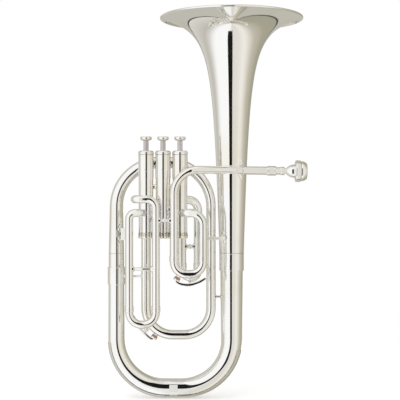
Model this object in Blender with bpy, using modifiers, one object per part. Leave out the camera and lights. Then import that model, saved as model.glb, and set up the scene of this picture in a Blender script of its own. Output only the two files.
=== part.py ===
"""Alto horn with three piston valves, modelled as separate pieces in metres, +Z up.

The bell opens upwards. Bell, bows and left branch lie in the plane Y = 0. The valves stand in front of
that plane, towards -Y, and the leadpipe and the two long slides stand in front of the valves. The origin
is the lowest point of the guard under the bottom bow, midway between the bell and the left branch.
"""

import math

import bmesh
import bpy
from mathutils import Matrix, Vector

# Clearances
GAP = 0.0003
STEP = 0.0001
PIPE_WALL = 0.0006
BELL_WALL = 0.0008

# Bell: outer radius = cone + flare * (1 + depth / flare depth) ** -power
LEG_SPACING = 0.165
BELL_TAIL_Z = 0.208
BELL_CONE_R = 0.02115
BELL_CONE_TAIL_R = 0.01483
BELL_FLARE = 0.08135
BELL_FLARE_DEPTH = 0.02934
BELL_FLARE_POWER = 1.334
BELL_LENGTH = 0.337
RIM_BEAD_R = 0.0016
RIM_LAND = 0.0012
BELL_RINGS = 11
BELL_SIDES = 32
BELL_FERRULE_LENGTH = 0.0255
BELL_FERRULE_LAP = 0.012
BELL_FERRULE_WALL = 0.001

# Bottom bow, its guard and the left branch
BOW_BEND_R = 0.0705
BOW_LEFT_R = 0.0116
BOW_BOTTOM_R = 0.0133
BOW_RIGHT_R = 0.0150
BRANCH_LOW_R = 0.0112
BRANCH_HIGH_R = 0.0110
BRANCH_JOINT_Z = 0.1748
BRANCH_TOP_Z = 0.2070
BRANCH_FERRULE_LENGTH = 0.0247
GUARD_THICKNESS = 0.0008
GUARD_HALF_ANGLE = math.radians(50)
GUARD_LEFT_TRIM = 0.0049
GUARD_RIGHT_TRIM = 0.0132

# Upper bow, inner bow and exit tube
UPPER_BOW_TOP_Z = 0.3372
UPPER_BOW_BEND_R = 0.063
UPPER_BOW_LEFT_R = 0.0095
INNER_R = 0.0068
INNER_LEG_X = 0.053
INNER_JOINT_Z = 0.188
INNER_BOW_BOTTOM_Z = 0.0903
INNER_BOW_BEND_R = 0.0384
EXIT_SHIFT = 0.0011
EXIT_BEND_R = 0.0107
EXIT_PORT_Z = 0.254

# Valves, numbered from the leadpipe; the casings stand in front of the main plane
VALVE_1_X = 0.009
CASING_R = 0.0103
CASING_SPACE = 0.0034
CASING_BACK_Y = -0.0107
CASING_WALL = 0.0015
CASING_SIDES = 16
BARREL_SWELL = 0.00045
SPRING_BARREL = 0.0344
SPRING_BARREL_TAPER = 0.0026
NECK_CUT = 0.0008
TOP_CAP_LOW_Z = 0.3473
TOP_CAP_HEIGHT = 0.0057
TOP_CAP_DOME = ((0.78, 1.0), (0.87, 0.955), (0.945, 0.81), (0.99, 0.58), (1.0, 0.4), (1.0, 0.14), (0.98, 0.0))
CAP_OVERHANG = 0.0006
CAP_CHAMFER = 0.0009
CAP_SKIRT = 0.004
CAP_PLATE = 0.0035
BOTTOM_CAP_LOW_Z = 0.2291
BOTTOM_CAP_HEIGHT = 0.0078
BOTTOM_CAP_FLOOR = 0.0021
BOTTOM_CAP_FLANGE = 0.0004
STEM_R = 0.0036
STEM_TOP_Z = 0.3667
BUTTON_R = 0.0081
BUTTON_HEIGHT = 0.006
VALVE_TRAVEL = 0.013
PISTON_SEAT = 0.0015
SPRING_RECESS = 0.0032
SPRING_COIL_R = 0.0058
SPRING_WIRE_R = 0.00035
SPRING_TURNS = 3
KNUCKLE_R = 0.0056
KNUCKLE_1_2_Z = 0.270
KNUCKLE_2_3_Z = 0.258
CASING_STAY_R = 0.0035
CASING_STAY_Z = 0.302

# Leadpipe, receiver and mouthpiece, along one tilted axis
LEADPIPE_R = 0.0059
LEADPIPE_MOUTH_R = 0.0053
LEADPIPE_FRONT_SPACE = 0.0018
LEADPIPE_X = 0.001
LEADPIPE_CORNER_Z = 0.32604
LEADPIPE_BEND_R = 0.0335
LEADPIPE_TILT = math.radians(0.8)
LEADPIPE_REACH = 0.096
RECEIVER_LENGTH = 0.0463
RECEIVER_CUP_LENGTH = 0.0129
RECEIVER_SLEEVE_R = 0.0058
RECEIVER_CUP_R = 0.0068
SHANK_DEPTH = 0.022
SHANK_END_R = 0.0046
SHANK_MOUTH_R = 0.0052
SHANK_SLIP = 0.0003
MOUTHPIECE_RIM_R = 0.0141
MOUTHPIECE_DOME = ((0.69, 0.0), (0.79, 0.0009), (0.87, 0.0024), (0.95, 0.0042), (1.0, 0.0062), (0.98, 0.0083))
MOUTHPIECE_FLANGE_R = 0.0153
MOUTHPIECE_CUP_R = 0.0091
MOUTHPIECE_THROAT_R = 0.0020
MOUTHPIECE_STAND = 0.0433
MOUTHPIECE_FLANGE_HIGH = 0.0336
MOUTHPIECE_FLANGE_LOW = 0.0271
MOUTHPIECE_BULB_R = 0.0093
MOUTHPIECE_NECK = 0.0136
MOUTHPIECE_NECK_R = 0.0035
MOUTHPIECE_BEAD_HIGH = 0.0117
MOUTHPIECE_BEAD_LOW = 0.0067

# Slides: outer legs, inner legs that slide in them, and the collars where they meet
SLIP = 0.0003
COLLAR_LIP = 0.0007
COLLAR_LENGTH = 0.004
MAIN_R = 0.0059
MAIN_SPREAD = 0.0405
MAIN_MOUTH_Z = 0.2015
MAIN_BEND_R = 0.0173
MAIN_LEG_SPACE = 0.0089
MAIN_PORT_Z = 0.2652
MAIN_PORT_ANGLE = math.radians(30)
MAIN_TOP_BEND_R = 0.0168
PORT_BEND_R = 0.007
THIRD_R = 0.0056
THIRD_RIGHT_OFFSET = 0.0146
THIRD_SPREAD = 0.0372
THIRD_MOUTH_Z = 0.1311
THIRD_BEND_R = 0.0173
THIRD_INSERT = 0.055
THIRD_LOW_PORT_Z = 0.2652
THIRD_LOW_PORT_ANGLE = math.radians(25.5)
THIRD_LOW_BEND_R = 0.0085
THIRD_HIGH_PORT_Z = 0.2844
THIRD_HIGH_PORT_ANGLE = math.radians(67.5)
THIRD_HIGH_BEND_R = 0.0125
FIRST_R = 0.0060
FIRST_SPREAD = 0.0229
FIRST_LEFT_SHIFT = 0.0025
FIRST_BACK_SPACE = 0.001
FIRST_MOUTH_Z = 0.1894
FIRST_BEND_R = 0.01145
FIRST_INSERT = 0.032
FIRST_HIGH_PORT_Z = 0.2834
FIRST_HIGH_BEND_R = 0.0158
FIRST_LOW_PORT_Z = 0.254
FIRST_LOW_BEND_R = 0.0068
SECOND_R = 0.0056
SECOND_LOW_Z = 0.258
SECOND_SPREAD = 0.023
SECOND_MOUTH_Y = 0.014
SECOND_INSERT = 0.018
SECOND_BEND_R = 0.0115
KNOB_R = 0.004
KNOB_LENGTH = 0.009

# Stays
ROD_R = 0.0021
BEAD_R = 0.0034
FLANGE_R = 0.0042
FLANGE_THICKNESS = 0.0008
EXIT_STAY_Z = 0.1743
BOW_STAY_Z = 0.1449
THIRD_STAY_Z = 0.1869
LEADPIPE_STAY_Z = 0.2546
FIRST_STAY_Z = 0.217
BELL_STAY_RISE = 0.0212
PLATE_THICKNESS = 0.0011
BELL_PLATE_HALF_WIDTH = 0.0075
BELL_PLATE_HALF_HEIGHT = 0.0108
POST_PLATE_HALF_WIDTH = 0.0085
POST_PLATE_HALF_HEIGHT = 0.013
POST_PLATE_ANGLE = math.radians(38.5)
POST_AIM_SHIFT = 0.006

# Lyre holder on the left branch
LYRE_Z = 0.2354
LYRE_WIDTH = 0.010
LYRE_DEPTH = 0.010
LYRE_HEIGHT = 0.017
LYRE_OUT_X = 0.0128
LYRE_OUT_Y = 0.019
LYRE_FOOT_R = 0.0026
LYRE_SOCKET = 0.0055
LYRE_PLATE_HALF_WIDTH = 0.006
LYRE_PLATE_HALF_HEIGHT = 0.0135
LYRE_SCREW_R = 0.0015
LYRE_KNOB_R = 0.005
LYRE_KNOB_LENGTH = 0.0065

# Water keys; levers and touches are X and Z from the bottom of crook 1 and from the middle of bow 2
KEY_1_ROOT_SHIFT = 0.0043
KEY_1_CORK_ANGLE = math.radians(241)
KEY_1_LEVER = ((-0.0092, -0.0137), (-0.002, -0.0125))
KEY_1_TOUCH = ((0.0145, -0.0145), (0.0225, -0.0140), (0.0274, -0.0068))
KEY_2_ROOT_ANGLE = math.radians(220.5)
KEY_2_CORK_ANGLE = math.radians(234.2)
KEY_2_LEVER = ((-0.0355, -0.0388),)
KEY_2_TOUCH = ((-0.0480, -0.0302), (-0.0530, -0.0207), (-0.0565, -0.0117))
CORK_R = 0.0045
CORK_THICKNESS = 0.0042
NIPPLE_R = 0.0032
NIPPLE_HEIGHT = 0.0014
CUP_WALL = 0.0007
LEVER_R = 0.0013
TOUCH_R = 0.0028
BARREL_R = 0.0021
BARREL_LENGTH = 0.0052
PIVOT_R = 0.0009
LUG_R = 0.0012
PIVOT_STAND = 0.0032

# Worked out from the sizes above
BELL_X = LEG_SPACING / 2
BRANCH_X = -LEG_SPACING / 2
BELL_RIM_Z = BELL_TAIL_Z + BELL_LENGTH
BELL_STAY_Z = BELL_TAIL_Z + BELL_STAY_RISE
MAIN_INSERT = MAIN_PORT_Z - MAIN_TOP_BEND_R - MAIN_MOUTH_Z - MAIN_LEG_SPACE
BOW_Z = BOW_BOTTOM_R + GAP + GUARD_THICKNESS
VALVE_PITCH = 2 * CASING_R + CASING_SPACE
VALVE_Y = CASING_BACK_Y - CASING_R
FRONT_Y = VALVE_Y - CASING_R - LEADPIPE_FRONT_SPACE - LEADPIPE_R
FIRST_Y = CASING_BACK_Y + FIRST_BACK_SPACE + FIRST_R
BORE_R = CASING_R - CASING_WALL
PISTON_R = BORE_R - GAP
BARREL_CASING_R = CASING_R + BARREL_SWELL
CAP_R = CASING_R + CAP_OVERHANG
TOP_CAP_R = BARREL_CASING_R + GAP
NECK_R = CASING_R - NECK_CUT
CAP_FLOOR_Z = BOTTOM_CAP_LOW_Z + BOTTOM_CAP_FLOOR
NECK_TOP_Z = BOTTOM_CAP_LOW_Z + BOTTOM_CAP_HEIGHT + GAP
PISTON_LOW_Z = CAP_FLOOR_Z + VALVE_TRAVEL + PISTON_SEAT
PISTON_TOP_Z = TOP_CAP_LOW_Z - CAP_SKIRT - PISTON_SEAT
LEADPIPE_AXIS = Vector((math.cos(LEADPIPE_TILT), 0, -math.sin(LEADPIPE_TILT)))

# Sides of the round tubes
BOW_SIDES = 16
TUBE_SIDES = 12

# The largest turn between two stations of a bend, for bends up to each radius
BEND_STEPS = ((0.0118, math.radians(31)), (0.05, math.radians(22.5)), (1.0, math.radians(15)))
UP = Vector((0, 0, 1))
RIGHT = Vector((1, 0, 0))
BACK = Vector((0, 1, 0))

SILVER = ((0.86, 0.85, 0.82, 1), 0.12, 1.0)
SPRING_STEEL = ((0.55, 0.54, 0.52, 1), 0.35, 1.0)
CORK = ((0.55, 0.28, 0.11, 1), 0.9, 0.0)


def valve_x(number):
    return VALVE_1_X - (number - 1) * VALVE_PITCH


def valve_axis(number, z):
    return Vector((valve_x(number), VALVE_Y, z))


def clear_scene():
    for obj in list(bpy.data.objects):
        bpy.data.objects.remove(obj, do_unlink=True)


def collection(name, hidden=False):
    made = bpy.data.collections.new(name)
    bpy.context.scene.collection.children.link(made)
    made.hide_render = hidden
    return made


clear_scene()
HORN = collection("alto_horn")
CUTTERS = collection("cutters", hidden=True)


def finish(obj, look):
    """Give a piece a Principled material of its own."""
    colour, roughness, metallic = look
    material = bpy.data.materials.new(obj.name + "_finish")
    material.use_nodes = True
    shader = material.node_tree.nodes["Principled BSDF"]
    shader.inputs["Base Color"].default_value = colour
    shader.inputs["Roughness"].default_value = roughness
    shader.inputs["Metallic"].default_value = metallic
    material.diffuse_color = colour
    obj.data.materials.append(material)


def place(name, data, look):
    """Link an object: a piece if it has a look, and otherwise a hidden cutter."""
    obj = bpy.data.objects.new(name, data)
    if look:
        HORN.objects.link(obj)
        finish(obj, look)
    else:
        CUTTERS.objects.link(obj)
        obj.hide_render = True
        obj.display_type = "WIRE"
    return obj


def boolean(obj, other, operation):
    modifier = obj.modifiers.new(operation.title() + " " + other.name, "BOOLEAN")
    modifier.operation = operation
    modifier.solver = "EXACT"
    modifier.object = other
    return obj


def cut(obj, *cutters):
    for cutter in cutters:
        boolean(obj, cutter, "DIFFERENCE")
    return obj


def join(obj, *others):
    for other in others:
        boolean(obj, other, "UNION")
    return obj


def hang(name, at, *pieces):
    """Parent a moving piece to an empty on its joint's axis; the piece keeps its place."""
    empty = bpy.data.objects.new(name, None)
    empty.empty_display_size = LEG_SPACING / 10
    empty.location = at
    HORN.objects.link(empty)
    for piece in pieces:
        piece.parent = empty
        piece.matrix_parent_inverse = Matrix.Translation(-at)


def turned(name, profile, at, axis, look=SILVER, sides=20, ring=True):
    """A lathe-turned shape: (radius, height) points, outer side from top to bottom, spun about the axis."""
    mesh = bpy.data.meshes.new(name)
    edges = [(i, i + 1) for i in range(len(profile) - 1)]
    if ring:
        edges.append((len(profile) - 1, 0))
    mesh.from_pydata([(radius, 0, height) for radius, height in profile], edges, [])
    obj = place(name, mesh, look)
    obj.location = at
    obj.rotation_mode = "QUATERNION"
    obj.rotation_quaternion = UP.rotation_difference(axis)
    screw = obj.modifiers.new("Turn", "SCREW")
    screw.angle = math.tau
    screw.steps = sides
    screw.render_steps = sides
    screw.use_merge_vertices = True
    screw.merge_threshold = 0.00001
    return obj


def drum(name, at, axis, radius, length, sides=CASING_SIDES):
    """A plain cylinder cutter that starts at the point and runs along the axis."""
    profile = [(0, length), (radius, length), (radius, 0), (0, 0)]
    return turned(name, profile, at, axis, None, sides, ring=False)


def rounded(corners, radii):
    """Points along straight runs through the corners, each inner corner rounded to its radius."""
    corners = [Vector(corner) for corner in corners]
    points = [corners[0]]
    for before, corner, after, radius in zip(corners, corners[1:], corners[2:], radii):
        arrive = (corner - before).normalized()
        leave = (after - corner).normalized()
        turn = arrive.angle(leave)
        normal = arrive.cross(leave).normalized()
        start = corner - arrive * radius * math.tan(turn / 2)
        centre = start + normal.cross(arrive) * radius
        step = next(step for limit, step in BEND_STEPS if radius <= limit)
        steps = max(2, math.ceil(turn / step - STEP))
        for i in range(steps + 1):
            points.append(centre + Matrix.Rotation(turn * i / steps, 3, normal) @ (start - centre))
    points.append(corners[-1])
    return points


def taper(points, first, last):
    """Stations (point, radius) along the points, the radius changing evenly with the length."""
    lengths = [0.0]
    for here, there in zip(points, points[1:]):
        lengths.append(lengths[-1] + (there - here).length)
    return [(point, first + (last - first) * at / lengths[-1]) for point, at in zip(points, lengths)]


def end_ring(stations, radius, length):
    """The stations with a collar at their start."""
    start, plain = stations[0]
    way = (stations[1][0] - start).normalized()
    collar = [(start, radius), (start + way * length, radius), (start + way * (length + STEP), plain)]
    return collar + stations[1:]


def grown(stations, extra, reach=0.0):
    """The stations with every radius changed by extra and both ends moved outwards by reach."""
    points = [point for point, _ in stations]
    first = points[0] + (points[0] - points[1]).normalized() * reach
    last = points[-1] + (points[-1] - points[-2]).normalized() * reach
    points = [first] + points[1:-1] + [last]
    return [(point, radius + extra) for point, (_, radius) in zip(points, stations)]


def rod(name, stations, look=SILVER, sides=TUBE_SIDES, capped=True):
    """A round bar or tube through the stations, as a bevelled curve."""
    curve = bpy.data.curves.new(name, "CURVE")
    curve.dimensions = "3D"
    curve.fill_mode = "FULL"
    widest = max(radius for _, radius in stations)
    curve.bevel_depth = widest
    curve.bevel_resolution = (sides - 4) // 2
    curve.use_fill_caps = capped
    spline = curve.splines.new("POLY")
    spline.points.add(len(stations) - 1)
    for point, (where, radius) in zip(spline.points, stations):
        point.co = (*where, 1)
        point.radius = radius / widest
    return place(name, curve, look)


def as_mesh(curve_object, look=SILVER):
    """The curve object made a mesh with its caps welded, so that it can be cut or be a cutter."""
    name = curve_object.name
    curve_object.name = name + "_curve"
    graph = bpy.context.evaluated_depsgraph_get()
    mesh = bpy.data.meshes.new_from_object(curve_object.evaluated_get(graph))
    mesh.name = name
    work = bmesh.new()
    work.from_mesh(mesh)
    bmesh.ops.remove_doubles(work, verts=work.verts, dist=0.000005)
    work.to_mesh(mesh)
    work.free()
    mesh.materials.clear()
    obj = place(name, mesh, look)
    obj.matrix_world = curve_object.matrix_world
    bpy.data.objects.remove(curve_object, do_unlink=True)
    return obj


def bar(name, stations, look=SILVER, sides=TUBE_SIDES):
    """A round bar as a mesh."""
    return as_mesh(rod(name, stations, None, sides), look)


def pipe(name, stations, look=SILVER, sides=TUBE_SIDES):
    """A hollow tube with flat open ends and the usual wall."""
    obj = rod(name, stations, look, sides, capped=False)
    shell = obj.modifiers.new("Wall", "SOLIDIFY")
    shell.thickness = PIPE_WALL
    shell.offset = -1
    shell.use_even_offset = True
    return obj


def stepped_taper(points, marks):
    """Stations along the points, tapering evenly between marks, each mark a point's number and its radius."""
    stations = []
    for (i, first), (j, last) in zip(marks, marks[1:]):
        part = taper(points[i:j + 1], first, last)
        stations += part[1:] if stations else part
    return stations


def trimmed(stations, off_start, off_end):
    """The stations with a length taken off each end, along their first and last runs."""
    def moved(end, following, length):
        share = length / (following[0] - end[0]).length
        return end[0].lerp(following[0], share), end[1] + (following[1] - end[1]) * share
    first = moved(stations[0], stations[1], off_start)
    last = moved(stations[-1], stations[-2], off_end)
    return [first] + stations[1:-1] + [last]


ROUTES = {}


def remember(name, stations, sides):
    ROUTES[name] = (stations, sides)
    return stations


def clearance(name):
    """A cutter that is the named tube's outside, larger by the gap."""
    stations, sides = ROUTES[name]
    found = bpy.data.objects.get(name + "_clearance")
    return found or bar(name + "_clearance", grown(stations, GAP), None, sides)


# Bell


def bell_radius(depth):
    """Outer radius at a depth below the rim: a slow cone plus a flare that dies away with depth."""
    flare = BELL_FLARE * (1 + depth / BELL_FLARE_DEPTH) ** -BELL_FLARE_POWER
    return BELL_CONE_R - (BELL_CONE_R - BELL_CONE_TAIL_R) * depth / BELL_LENGTH + flare


def bell_slope(depth):
    power = BELL_FLARE_POWER + 1
    flare = BELL_FLARE * BELL_FLARE_POWER / BELL_FLARE_DEPTH * (1 + depth / BELL_FLARE_DEPTH) ** -power
    return -(BELL_CONE_R - BELL_CONE_TAIL_R) / BELL_LENGTH - flare


def bow_top_radius():
    """The bow's right end sits inside the ferrule, which is as wide as the bell's tail."""
    return bell_radius(BELL_LENGTH) - BELL_FERRULE_WALL - GAP


def bell_depths(first, count):
    """Depths from the first down to the tail, close together in the flare and further apart below it."""
    span = 1 + (BELL_LENGTH - first) / BELL_FLARE_DEPTH
    return [first + BELL_FLARE_DEPTH * (span ** (i / count) - 1) for i in range(count + 1)]


def make_bell():
    rim_r = bell_radius(0)
    depths = bell_depths(RIM_BEAD_R * 0.75, BELL_RINGS)
    land = [(rim_r - RIM_BEAD_R - RIM_LAND, BELL_RIM_Z)]
    bead = []
    for degrees in range(90, -151, -40):
        angle = math.radians(degrees)
        bead.append((
            rim_r + RIM_BEAD_R * (math.cos(angle) - 1),
            BELL_RIM_Z + RIM_BEAD_R * (math.sin(angle) - 1),
        ))
    outside = [(bell_radius(depth), BELL_RIM_Z - depth) for depth in depths]
    inside = []
    for depth in reversed(depths):
        slope = bell_slope(depth)
        along = math.hypot(slope, 1)
        inside.append((
            bell_radius(depth) - BELL_WALL / along,
            BELL_RIM_Z - depth - BELL_WALL * slope / along,
        ))
    turned("bell", land + bead + outside + inside, (BELL_X, 0, 0), UP, sides=BELL_SIDES)


def bell_core(name, extra):
    """The stem of the bell as a solid cutter, its outside moved out by extra."""
    depths = [depth for depth in bell_depths(RIM_BEAD_R, BELL_RINGS) if depth > BELL_LENGTH / 4]
    outside = [(bell_radius(depth) + extra, BELL_RIM_Z - depth) for depth in depths]
    profile = [(0, outside[0][1])] + outside + [(0, outside[-1][1])]
    return turned(name, profile, (BELL_X, 0, 0), UP, None, BELL_SIDES, ring=False)


def make_bell_ferrule():
    top = BELL_TAIL_Z - GAP
    low = BELL_TAIL_Z - BELL_FERRULE_LENGTH
    outer = bell_radius(BELL_LENGTH)
    inner = outer - BELL_FERRULE_WALL
    profile = [
        (outer, top),
        (outer, low + CAP_CHAMFER),
        (outer - CAP_CHAMFER / 2, low),
        (inner, low),
        (inner, top),
    ]
    turned("bell_ferrule", profile, (BELL_X, 0, 0), UP, sides=BELL_SIDES)


# Bottom bow, guard and left branch


def make_bottom_bow():
    top = BELL_TAIL_Z - BELL_FERRULE_LAP
    corners = [(BRANCH_X, 0, BRANCH_JOINT_Z), (BRANCH_X, 0, BOW_Z), (BELL_X, 0, BOW_Z), (BELL_X, 0, top)]
    points = rounded(corners, [BOW_BEND_R, BOW_BEND_R])
    bend = (len(points) - 2) // 2
    marks = [
        (0, BRANCH_LOW_R),
        (1, BOW_LEFT_R),
        (bend, BOW_BOTTOM_R),
        (bend + 1, BOW_BOTTOM_R),
        (2 * bend, BOW_RIGHT_R),
        (2 * bend + 1, bow_top_radius()),
    ]
    stations = remember("bottom_bow", stepped_taper(points, marks), BOW_SIDES)
    pipe("bottom_bow", stations, sides=BOW_SIDES)
    make_guard(trimmed(stations[1:-1], GUARD_LEFT_TRIM, GUARD_RIGHT_TRIM))


def make_guard(stations):
    """A crescent-shaped strip swept along the outside of the bow."""
    inner = BOW_BOTTOM_R + GAP
    profile = bpy.data.curves.new("guard_section", "CURVE")
    spline = profile.splines.new("POLY")
    steps = 4
    angles = [GUARD_HALF_ANGLE * (2 * i / steps - 1) for i in range(steps + 1)]
    section = [(inner, angle) for angle in angles]
    section += [(inner + GUARD_THICKNESS, angle) for angle in reversed(angles)]
    spline.points.add(len(section) - 1)
    for point, (radius, angle) in zip(spline.points, section):
        point.co = (radius * math.sin(angle), -radius * math.cos(angle), 0, 1)
    spline.use_cyclic_u = True
    outline = place("guard_section", profile, None)
    curve = bpy.data.curves.new("bow_guard", "CURVE")
    curve.dimensions = "3D"
    curve.bevel_mode = "OBJECT"
    curve.bevel_object = outline
    curve.use_fill_caps = True
    path = curve.splines.new("POLY")
    path.points.add(len(stations) - 1)
    for point, (where, radius) in zip(path.points, stations):
        point.co = (*where, 1)
        point.radius = (radius + GAP) / inner
    place("bow_guard", curve, SILVER)


def make_left_branch():
    low = Vector((BRANCH_X, 0, BRANCH_JOINT_Z + GAP))
    high = Vector((BRANCH_X, 0, BRANCH_TOP_Z))
    stations = remember("left_branch", taper([low, high], BRANCH_LOW_R, BRANCH_HIGH_R), BOW_SIDES)
    pipe("left_branch", stations, sides=BOW_SIDES)
    half = BRANCH_FERRULE_LENGTH / 2
    inner = BRANCH_LOW_R + 2 * GAP
    outer = inner + PIPE_WALL
    profile = [
        (outer - CAP_CHAMFER / 3, half),
        (outer, half - CAP_CHAMFER),
        (outer, CAP_CHAMFER - half),
        (outer - CAP_CHAMFER / 3, -half),
        (inner, -half),
        (inner, half),
    ]
    turned("left_branch_ferrule", profile, (BRANCH_X, 0, BRANCH_JOINT_Z), UP, sides=16)


# Upper bow, inner bow and exit tube


def make_upper_bow():
    corners = [
        (BRANCH_X, 0, BRANCH_TOP_Z + GAP),
        (BRANCH_X, 0, UPPER_BOW_TOP_Z),
        (INNER_LEG_X, 0, UPPER_BOW_TOP_Z),
        (INNER_LEG_X, 0, INNER_JOINT_Z + GAP / 2),
    ]
    points = rounded(corners, [UPPER_BOW_BEND_R, UPPER_BOW_BEND_R])
    bend = (len(points) - 2) // 2
    marks = [(0, BRANCH_HIGH_R), (1, UPPER_BOW_LEFT_R), (2 * bend, INNER_R), (2 * bend + 1, INNER_R)]
    stations = remember("upper_bow", stepped_taper(points, marks), BOW_SIDES)
    pipe("upper_bow", stations, sides=BOW_SIDES)


def exit_x():
    return valve_x(3) - EXIT_SHIFT


def make_inner_bow():
    joint = INNER_JOINT_Z - GAP / 2
    corners = [
        (exit_x(), 0, joint),
        (exit_x(), 0, INNER_BOW_BOTTOM_Z),
        (INNER_LEG_X, 0, INNER_BOW_BOTTOM_Z),
        (INNER_LEG_X, 0, joint),
    ]
    points = rounded(corners, [INNER_BOW_BEND_R, INNER_BOW_BEND_R])
    stations = remember("inner_bow", taper(points, INNER_R, INNER_R), TUBE_SIDES)
    bow = bar("inner_bow", stations)
    bore = bar("inner_bow_bore", grown(stations, -PIPE_WALL, PIPE_WALL), None)
    return bow, bore


# Valves


def make_casing(number):
    """A casing and the cutter that trims whatever is brazed onto it."""
    x = valve_x(number)
    top = TOP_CAP_LOW_Z - GAP
    low = CAP_FLOOR_Z + GAP
    profile = [
        (BARREL_CASING_R, top),
        (BARREL_CASING_R, top - SPRING_BARREL + SPRING_BARREL_TAPER),
        (CASING_R, top - SPRING_BARREL),
        (CASING_R, NECK_TOP_Z),
        (NECK_R, NECK_TOP_Z),
        (NECK_R, low),
        (BORE_R, low),
        (BORE_R, top),
    ]
    casing = turned(f"valve_casing_{number}", profile, (x, VALVE_Y, 0), UP, sides=CASING_SIDES)
    trim = drum(f"casing_{number}_clearance", (x, VALVE_Y, low), UP, CASING_R + GAP, top - low)
    return casing, trim


def make_caps(number):
    at = (valve_x(number), VALVE_Y, 0)
    top = TOP_CAP_LOW_Z + TOP_CAP_HEIGHT
    skirt = BORE_R - GAP
    plate = top - CAP_PLATE
    cap = [(TOP_CAP_R * wide, TOP_CAP_LOW_Z + TOP_CAP_HEIGHT * high) for wide, high in TOP_CAP_DOME]
    cap += [
        (skirt, TOP_CAP_LOW_Z),
        (skirt, TOP_CAP_LOW_Z - CAP_SKIRT),
        (skirt - PIPE_WALL, TOP_CAP_LOW_Z - CAP_SKIRT),
        (skirt - PIPE_WALL, plate),
        (STEM_R + 2 * GAP, plate),
        (STEM_R + 2 * GAP, top),
    ]
    turned(f"top_cap_{number}", cap, at, UP, sides=CASING_SIDES)
    rim = BOTTOM_CAP_LOW_Z + BOTTOM_CAP_HEIGHT
    flange = CAP_R + BOTTOM_CAP_FLANGE
    cup = [
        (0, CAP_FLOOR_Z),
        (NECK_R + GAP, CAP_FLOOR_Z),
        (NECK_R + GAP, rim),
        (CAP_R, rim),
        (CAP_R, CAP_FLOOR_Z),
        (flange, CAP_FLOOR_Z - GAP),
        (flange, BOTTOM_CAP_LOW_Z + CAP_CHAMFER),
        (flange - CAP_CHAMFER, BOTTOM_CAP_LOW_Z),
        (0, BOTTOM_CAP_LOW_Z),
    ]
    turned(f"bottom_cap_{number}", cup, at, UP, sides=CASING_SIDES, ring=False)


def make_piston(number, passages):
    """A piston with its stem, drilled from wall to wall where the air goes through it."""
    recess = SPRING_COIL_R + 2 * SPRING_WIRE_R + GAP
    profile = [
        (0, STEM_TOP_Z),
        (STEM_R, STEM_TOP_Z),
        (STEM_R, PISTON_TOP_Z),
        (PISTON_R - CAP_CHAMFER, PISTON_TOP_Z),
        (PISTON_R, PISTON_TOP_Z - CAP_CHAMFER),
        (PISTON_R, PISTON_LOW_Z),
        (recess, PISTON_LOW_Z),
        (recess, PISTON_LOW_Z + SPRING_RECESS),
        (0, PISTON_LOW_Z + SPRING_RECESS),
    ]
    at = (valve_x(number), VALVE_Y, 0)
    piston = turned(f"piston_{number}", profile, at, UP, sides=CASING_SIDES, ring=False)
    for letter, ends in zip("ab", passages):
        points = []
        for angle, z in ends:
            points.append(valve_axis(number, z) + Vector((math.cos(angle), math.sin(angle), 0)) * PISTON_R)
        name = f"passage_{number}{letter}"
        way = (points[1] - points[0]).normalized() * PISTON_R
        passage_r = KNUCKLE_R - PIPE_WALL - GAP
        drill = [(points[0] - way, passage_r), (points[1] + way, passage_r)]
        cut(piston, bar(name, drill, None, 8))


def make_button(number):
    underside = STEM_TOP_Z + GAP
    r = BUTTON_R
    h = BUTTON_HEIGHT
    profile = [
        (0, underside + h * 0.86),
        (r * 0.55, underside + h * 0.90),
        (r * 0.80, underside + h),
        (r * 0.95, underside + h * 0.85),
        (r, underside + h * 0.60),
        (r * 0.88, underside + h * 0.30),
        (r * 0.60, underside + h * 0.10),
        (STEM_R, underside),
        (0, underside),
    ]
    turned(f"finger_button_{number}", profile, (valve_x(number), VALVE_Y, 0), UP, sides=16, ring=False)


def make_spring(number):
    low = CAP_FLOOR_Z + GAP + SPRING_WIRE_R
    high = PISTON_LOW_Z + SPRING_RECESS - GAP - SPRING_WIRE_R
    per_turn = 8
    count = round(SPRING_TURNS * per_turn)
    stations = []
    for i in range(count + 1):
        angle = math.tau * i / per_turn
        around = Vector((math.cos(angle), math.sin(angle), 0)) * SPRING_COIL_R
        stations.append((valve_axis(number, low + (high - low) * i / count) + around, SPRING_WIRE_R))
    rod(f"valve_spring_{number}", stations, SPRING_STEEL, sides=4)


# Leadpipe, receiver and mouthpiece


def leadpipe_corner():
    return Vector((LEADPIPE_X, FRONT_Y, LEADPIPE_CORNER_Z))


def make_leadpipe():
    low = Vector((LEADPIPE_X, FRONT_Y, MAIN_MOUTH_Z))
    end = leadpipe_corner() + LEADPIPE_AXIS * LEADPIPE_REACH
    points = rounded([low, leadpipe_corner(), end], [LEADPIPE_BEND_R])
    marks = [(0, LEADPIPE_R), (1, LEADPIPE_R), (len(points) - 1, LEADPIPE_MOUTH_R)]
    stations = remember("leadpipe", stepped_taper(points, marks), TUBE_SIDES)
    bore = bar("leadpipe_bore", grown(stations, -PIPE_WALL, PIPE_WALL), None)
    cut(bar("leadpipe", end_ring(stations, LEADPIPE_R + COLLAR_LIP, COLLAR_LENGTH)), bore)


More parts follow.
